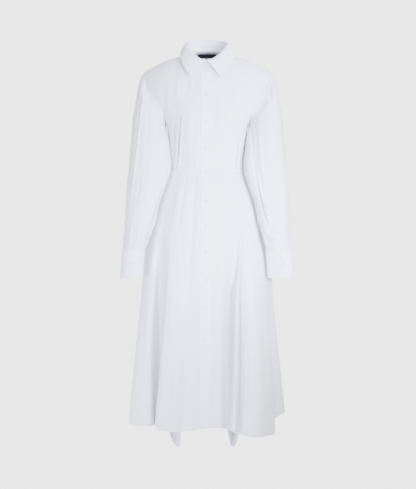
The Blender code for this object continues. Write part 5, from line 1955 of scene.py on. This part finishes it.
def button_seats():
    """Where each button lies: its node, the piece below it, the place, the slit's way, the way it faces."""
    roll = collar_rows(0)[0]
    low = stand_point(360, 0)
    seat = stand_point(360, (STAND_BUTTON_Z - low.z) / (roll.z - low.z))
    facing = Vector((0, low.z - roll.z, roll.y - low.y)).normalized()
    seats = [("button_stand", "collar_stand", seat, Vector((1, 0, 0)), facing)]
    for number, z in enumerate(BAND_BUTTONS, start=1):
        rise = closing_rise(z)
        here, facing = normal_of(band_surface, 0.0, rise)
        up = (Vector(band_surface(0.0, rise + 0.002)) - here).normalized()
        seats.append((f"button_{number:02d}", "placket", here, up, facing))
    for name, side in (("left", -1), ("right", 1)):
        angle = CUFF_END - CUFF_BUTTON_INSET
        here, facing = normal_of(lambda a, d: cuff_point(side, a, d), angle, CUFF_BUTTON_DROP)
        across = Vector(cuff_point(side, angle - 3, CUFF_BUTTON_DROP)) - here
        seats.append((f"button_cuff_{name}", f"cuff_{name}", here, across.normalized(), facing * side))
    return seats


SEATS = button_seats()
print("buttons go at heights", [round(seat.z, 3) for _, _, seat, _, _ in SEATS])

# %% Sew the buttonholes
HOLE_LENGTH = 0.0150
HOLE_HALF_WIDTH = 0.00105
HOLE_STITCHES = 22  # along each side of a slit
HOLE_STITCH = (0.0015, 0.00045, 0.00040)
BAR_PLACE = 0.53  # of the slit's length, from its middle
BAR_STITCH = (0.0030, 0.00055, 0.00050)


def buttonhole(bm, centre, along, facing, node):
    """Two close rows of short stitches beside a slit, and a bar at each end."""
    across = facing.cross(along).normalized()
    for step in even(HOLE_STITCHES, -0.5, 0.5):
        for side in (-1, 1):
            guide = centre + along * HOLE_LENGTH * step + across * side * HOLE_HALF_WIDTH
            spot, up = on_cloth(guide, [node])
            place_stitch(bm, spot + up * STITCH_SINK, across, up, HOLE_STITCH)
    for end in (-BAR_PLACE, BAR_PLACE):
        spot, up = on_cloth(centre + along * HOLE_LENGTH * end, [node])
        place_stitch(bm, spot + up * STITCH_SINK, across, up, BAR_STITCH)


def sew_buttonholes():
    bm = bmesh.new()
    for _, node, seat, along, facing in SEATS:
        buttonhole(bm, seat, along, facing, node)
    finish_piece("stitches_buttonholes", bm, THREAD_WHITE, [])


sew_buttonholes()
print("buttonholes:", len(SEATS))

# %% [markdown]
# ## Buttons
#
# A shirt button is turned from shell or its imitation, and four holes are drilled through it. Shell is nearly
# white, with faint clouds that also change how well it is polished, and a clear shine on top. A mix of two
# close tones by one noise gives the clouds and the polish together, which a plain white could not.

# %% Pearl material
def pearl_material():
    """White shell with faint clouds in it, polished."""
    material, tree, shader = new_material("white pearl")
    place = add_node(tree, "ShaderNodeTexCoord").outputs["Object"]
    clouds = add_node(tree, "ShaderNodeTexNoise", Vector=place, Scale=240.0, Detail=3.0, Distortion=1.6)
    share = clouds.outputs["Fac"]
    set_inputs(
        tree,
        shader,
        Base_Color=colour_between(tree, share, (0.68, 0.70, 0.75, 1.0), (0.84, 0.84, 0.86, 1.0)),
        Roughness=value_between(tree, share, 0.22, 0.42),
        Normal=relief(tree, share, strength=0.3, distance=0.0002),
        Coat_Weight=0.35,
        Coat_Roughness=0.12,
    )
    return material


PEARL = pearl_material()
print("buttons are of", PEARL.name)

# %% [markdown]
# The shape is a rounded rim round a shallow dish. Boolean cuts would leave ragged holes, so the rim is a
# profile spun round the axis, the dish a disc filled round its four holes, and the same disc below is
# bridged to it hole by hole. Two bars of thread hold the button down.

# %% Turn the buttons
BUTTON_RADIUS = 0.0055
BUTTON_THICKNESS = 0.0022
BUTTON_SIDES = 40
HOLE_SIDES = 10
HOLE_RADIUS = 0.00075
HOLE_OFFSET = 0.00135  # from the middle, along x and y
DISH_RADIUS = 0.0036
DISH_FLOOR = 0.0013  # height of the dish's floor above the button's back
RIM = (
    # distance from the axis and height, from the dish over the rim to the back
    (DISH_RADIUS, DISH_FLOOR),
    (0.0040, 0.0018),
    (0.0046, BUTTON_THICKNESS),
    (0.0052, 0.0020),
    (BUTTON_RADIUS, 0.0013),
    (0.0053, 0.0005),
    (0.0047, 0.0000),
    (DISH_RADIUS, 0.0000),
)


def turned_ring(bm):
    """The rim, spun from its profile."""
    profile = [bm.verts.new((radius, 0, height)) for radius, height in RIM]
    edges = [bm.edges.new(pair) for pair in zip(profile, profile[1:])]
    bmesh.ops.spin(bm, geom=profile + edges, cent=(0, 0, 0), axis=(0, 0, 1), dvec=(0, 0, 0),
                   angle=2 * math.pi, steps=BUTTON_SIDES, use_merge=True, use_duplicate=False)


def dish(bm, height):
    """A disc with four holes, at one height; gives the edges of each hole."""
    rings = []
    circles = [(0.0, 0.0, DISH_RADIUS, BUTTON_SIDES)]
    corners = [(x * HOLE_OFFSET, y * HOLE_OFFSET) for x in (-1, 1) for y in (-1, 1)]
    circles += [(x, y, HOLE_RADIUS, HOLE_SIDES) for x, y in corners]
    for x, y, radius, sides in circles:
        made = bmesh.ops.create_circle(bm, segments=sides, radius=radius)["verts"]
        bmesh.ops.translate(bm, verts=made, vec=(x, y, height))
        rings.append(list({edge for vert in made for edge in vert.link_edges}))
    bmesh.ops.triangle_fill(bm, edges=sum(rings, []), use_beauty=True, normal=(0, 0, 1))
    return rings[1:]


def make_button():
    """One button, its back at z = 0, with open holes."""
    bm = bmesh.new()
    turned_ring(bm)
    for above, below in zip(dish(bm, DISH_FLOOR), dish(bm, 0.0)):
        bmesh.ops.bridge_loops(bm, edges=above + below)
    bmesh.ops.remove_doubles(bm, verts=bm.verts, dist=1e-5)
    bmesh.ops.recalc_face_normals(bm, faces=bm.faces)
    return bm


print("a button is", 2000 * BUTTON_RADIUS, "mm across and", 1000 * BUTTON_THICKNESS, "mm thick")

# %% Sew the buttons on
SEWING_STRANDS = (-0.00018, 0.00018)  # two strands side by side
STRAND_SIZE = (HOLE_OFFSET * 2.5, 0.0005, 0.0006)  # length, width, height
STRAND_LIFT = 0.0001


def sew_on(bm):
    """Two bars of thread from hole to hole."""
    for side in (-1, 1):
        for strand in SEWING_STRANDS:
            centre = Vector((side * HOLE_OFFSET + strand, 0, DISH_FLOOR + STRAND_LIFT))
            place_stitch(bm, centre, Vector((0, 1, 0)), Vector((0, 0, 1)), STRAND_SIZE)


def lay_button(node, seat, along, facing):
    """A button on its piece, its thread in the same mesh."""
    bm = make_button()
    pearl_faces = len(bm.faces)
    sew_on(bm)
    for number, face in enumerate(bm.faces):
        face.material_index = 0 if number < pearl_faces else 1
    turn = Matrix((facing.cross(along).normalized() * -1, along, facing)).transposed().to_4x4()
    bmesh.ops.transform(bm, matrix=Matrix.Translation(seat + facing * LAY) @ turn, verts=bm.verts)
    piece = finish_piece(f"sewn_{node}", bm, PEARL, [node])
    piece.data.materials.append(THREAD_WHITE)
    return piece


for node, _, seat, along, facing in SEATS:
    lay_button(node, seat, along, facing)
print("buttons:", len(SEATS))

# %% [markdown]
# ## The label
#
# A plain satin label lies inside the yoke under the collar. Satin floats its threads over several others, so
# it shines in fine lines along one way. The weave group serves again with finer threads, which is simpler
# than a second pattern for a strip this small.

# %% Satin material
SATIN_THREAD = 0.00025


def satin_material():
    """Black satin, ribbed along the label."""
    material, tree, shader = new_material("black satin")
    cloth = add_node(tree, "ShaderNodeUVMap", {"uv_map": "cloth"}).outputs[0]
    threads = use_group(tree, WEAVE, Cloth=cloth, Thread=SATIN_THREAD)
    share = threads["Shade"]
    set_inputs(
        tree,
        shader,
        Base_Color=colour_between(tree, share, (0.008, 0.008, 0.010, 1.0), (0.020, 0.020, 0.024, 1.0)),
        Roughness=value_between(tree, share, 0.38, 0.52),
        Normal=relief(tree, threads["Height"], strength=0.7, distance=0.0001),
    )
    return material


BLACK_SATIN = satin_material()
print("the label is of", BLACK_SATIN.name)

# %% Lay the label
LABEL_ROWS = (0.86, 0.96)  # of the yoke's rows, from its lower edge
LABEL_SHARE = YOKE_NECK_SHARE / 3  # of the yoke's half width
LABEL_GRID = (60, 16)
LABEL_WALL = 0.0006
LABEL_HEIGHT = 0.0010
SOLID_WALL = 0.0012  # of the solid above, which the label hangs under


def lay_label():
    def surface(u, w):
        here, facing = normal_of(lambda a, b: Vector(yoke_point(-a, b)), -u, w)
        return here - facing * (SOLID_WALL + LAY + LABEL_HEIGHT)

    columns, rows = LABEL_GRID
    across = even(columns, LABEL_SHARE, -LABEL_SHARE)[::-1]
    lay_cloth("neck_label", surface, across, even(rows, *LABEL_ROWS), BLACK_SATIN, wall=LABEL_WALL,
              wobble=0.00005)


lay_label()
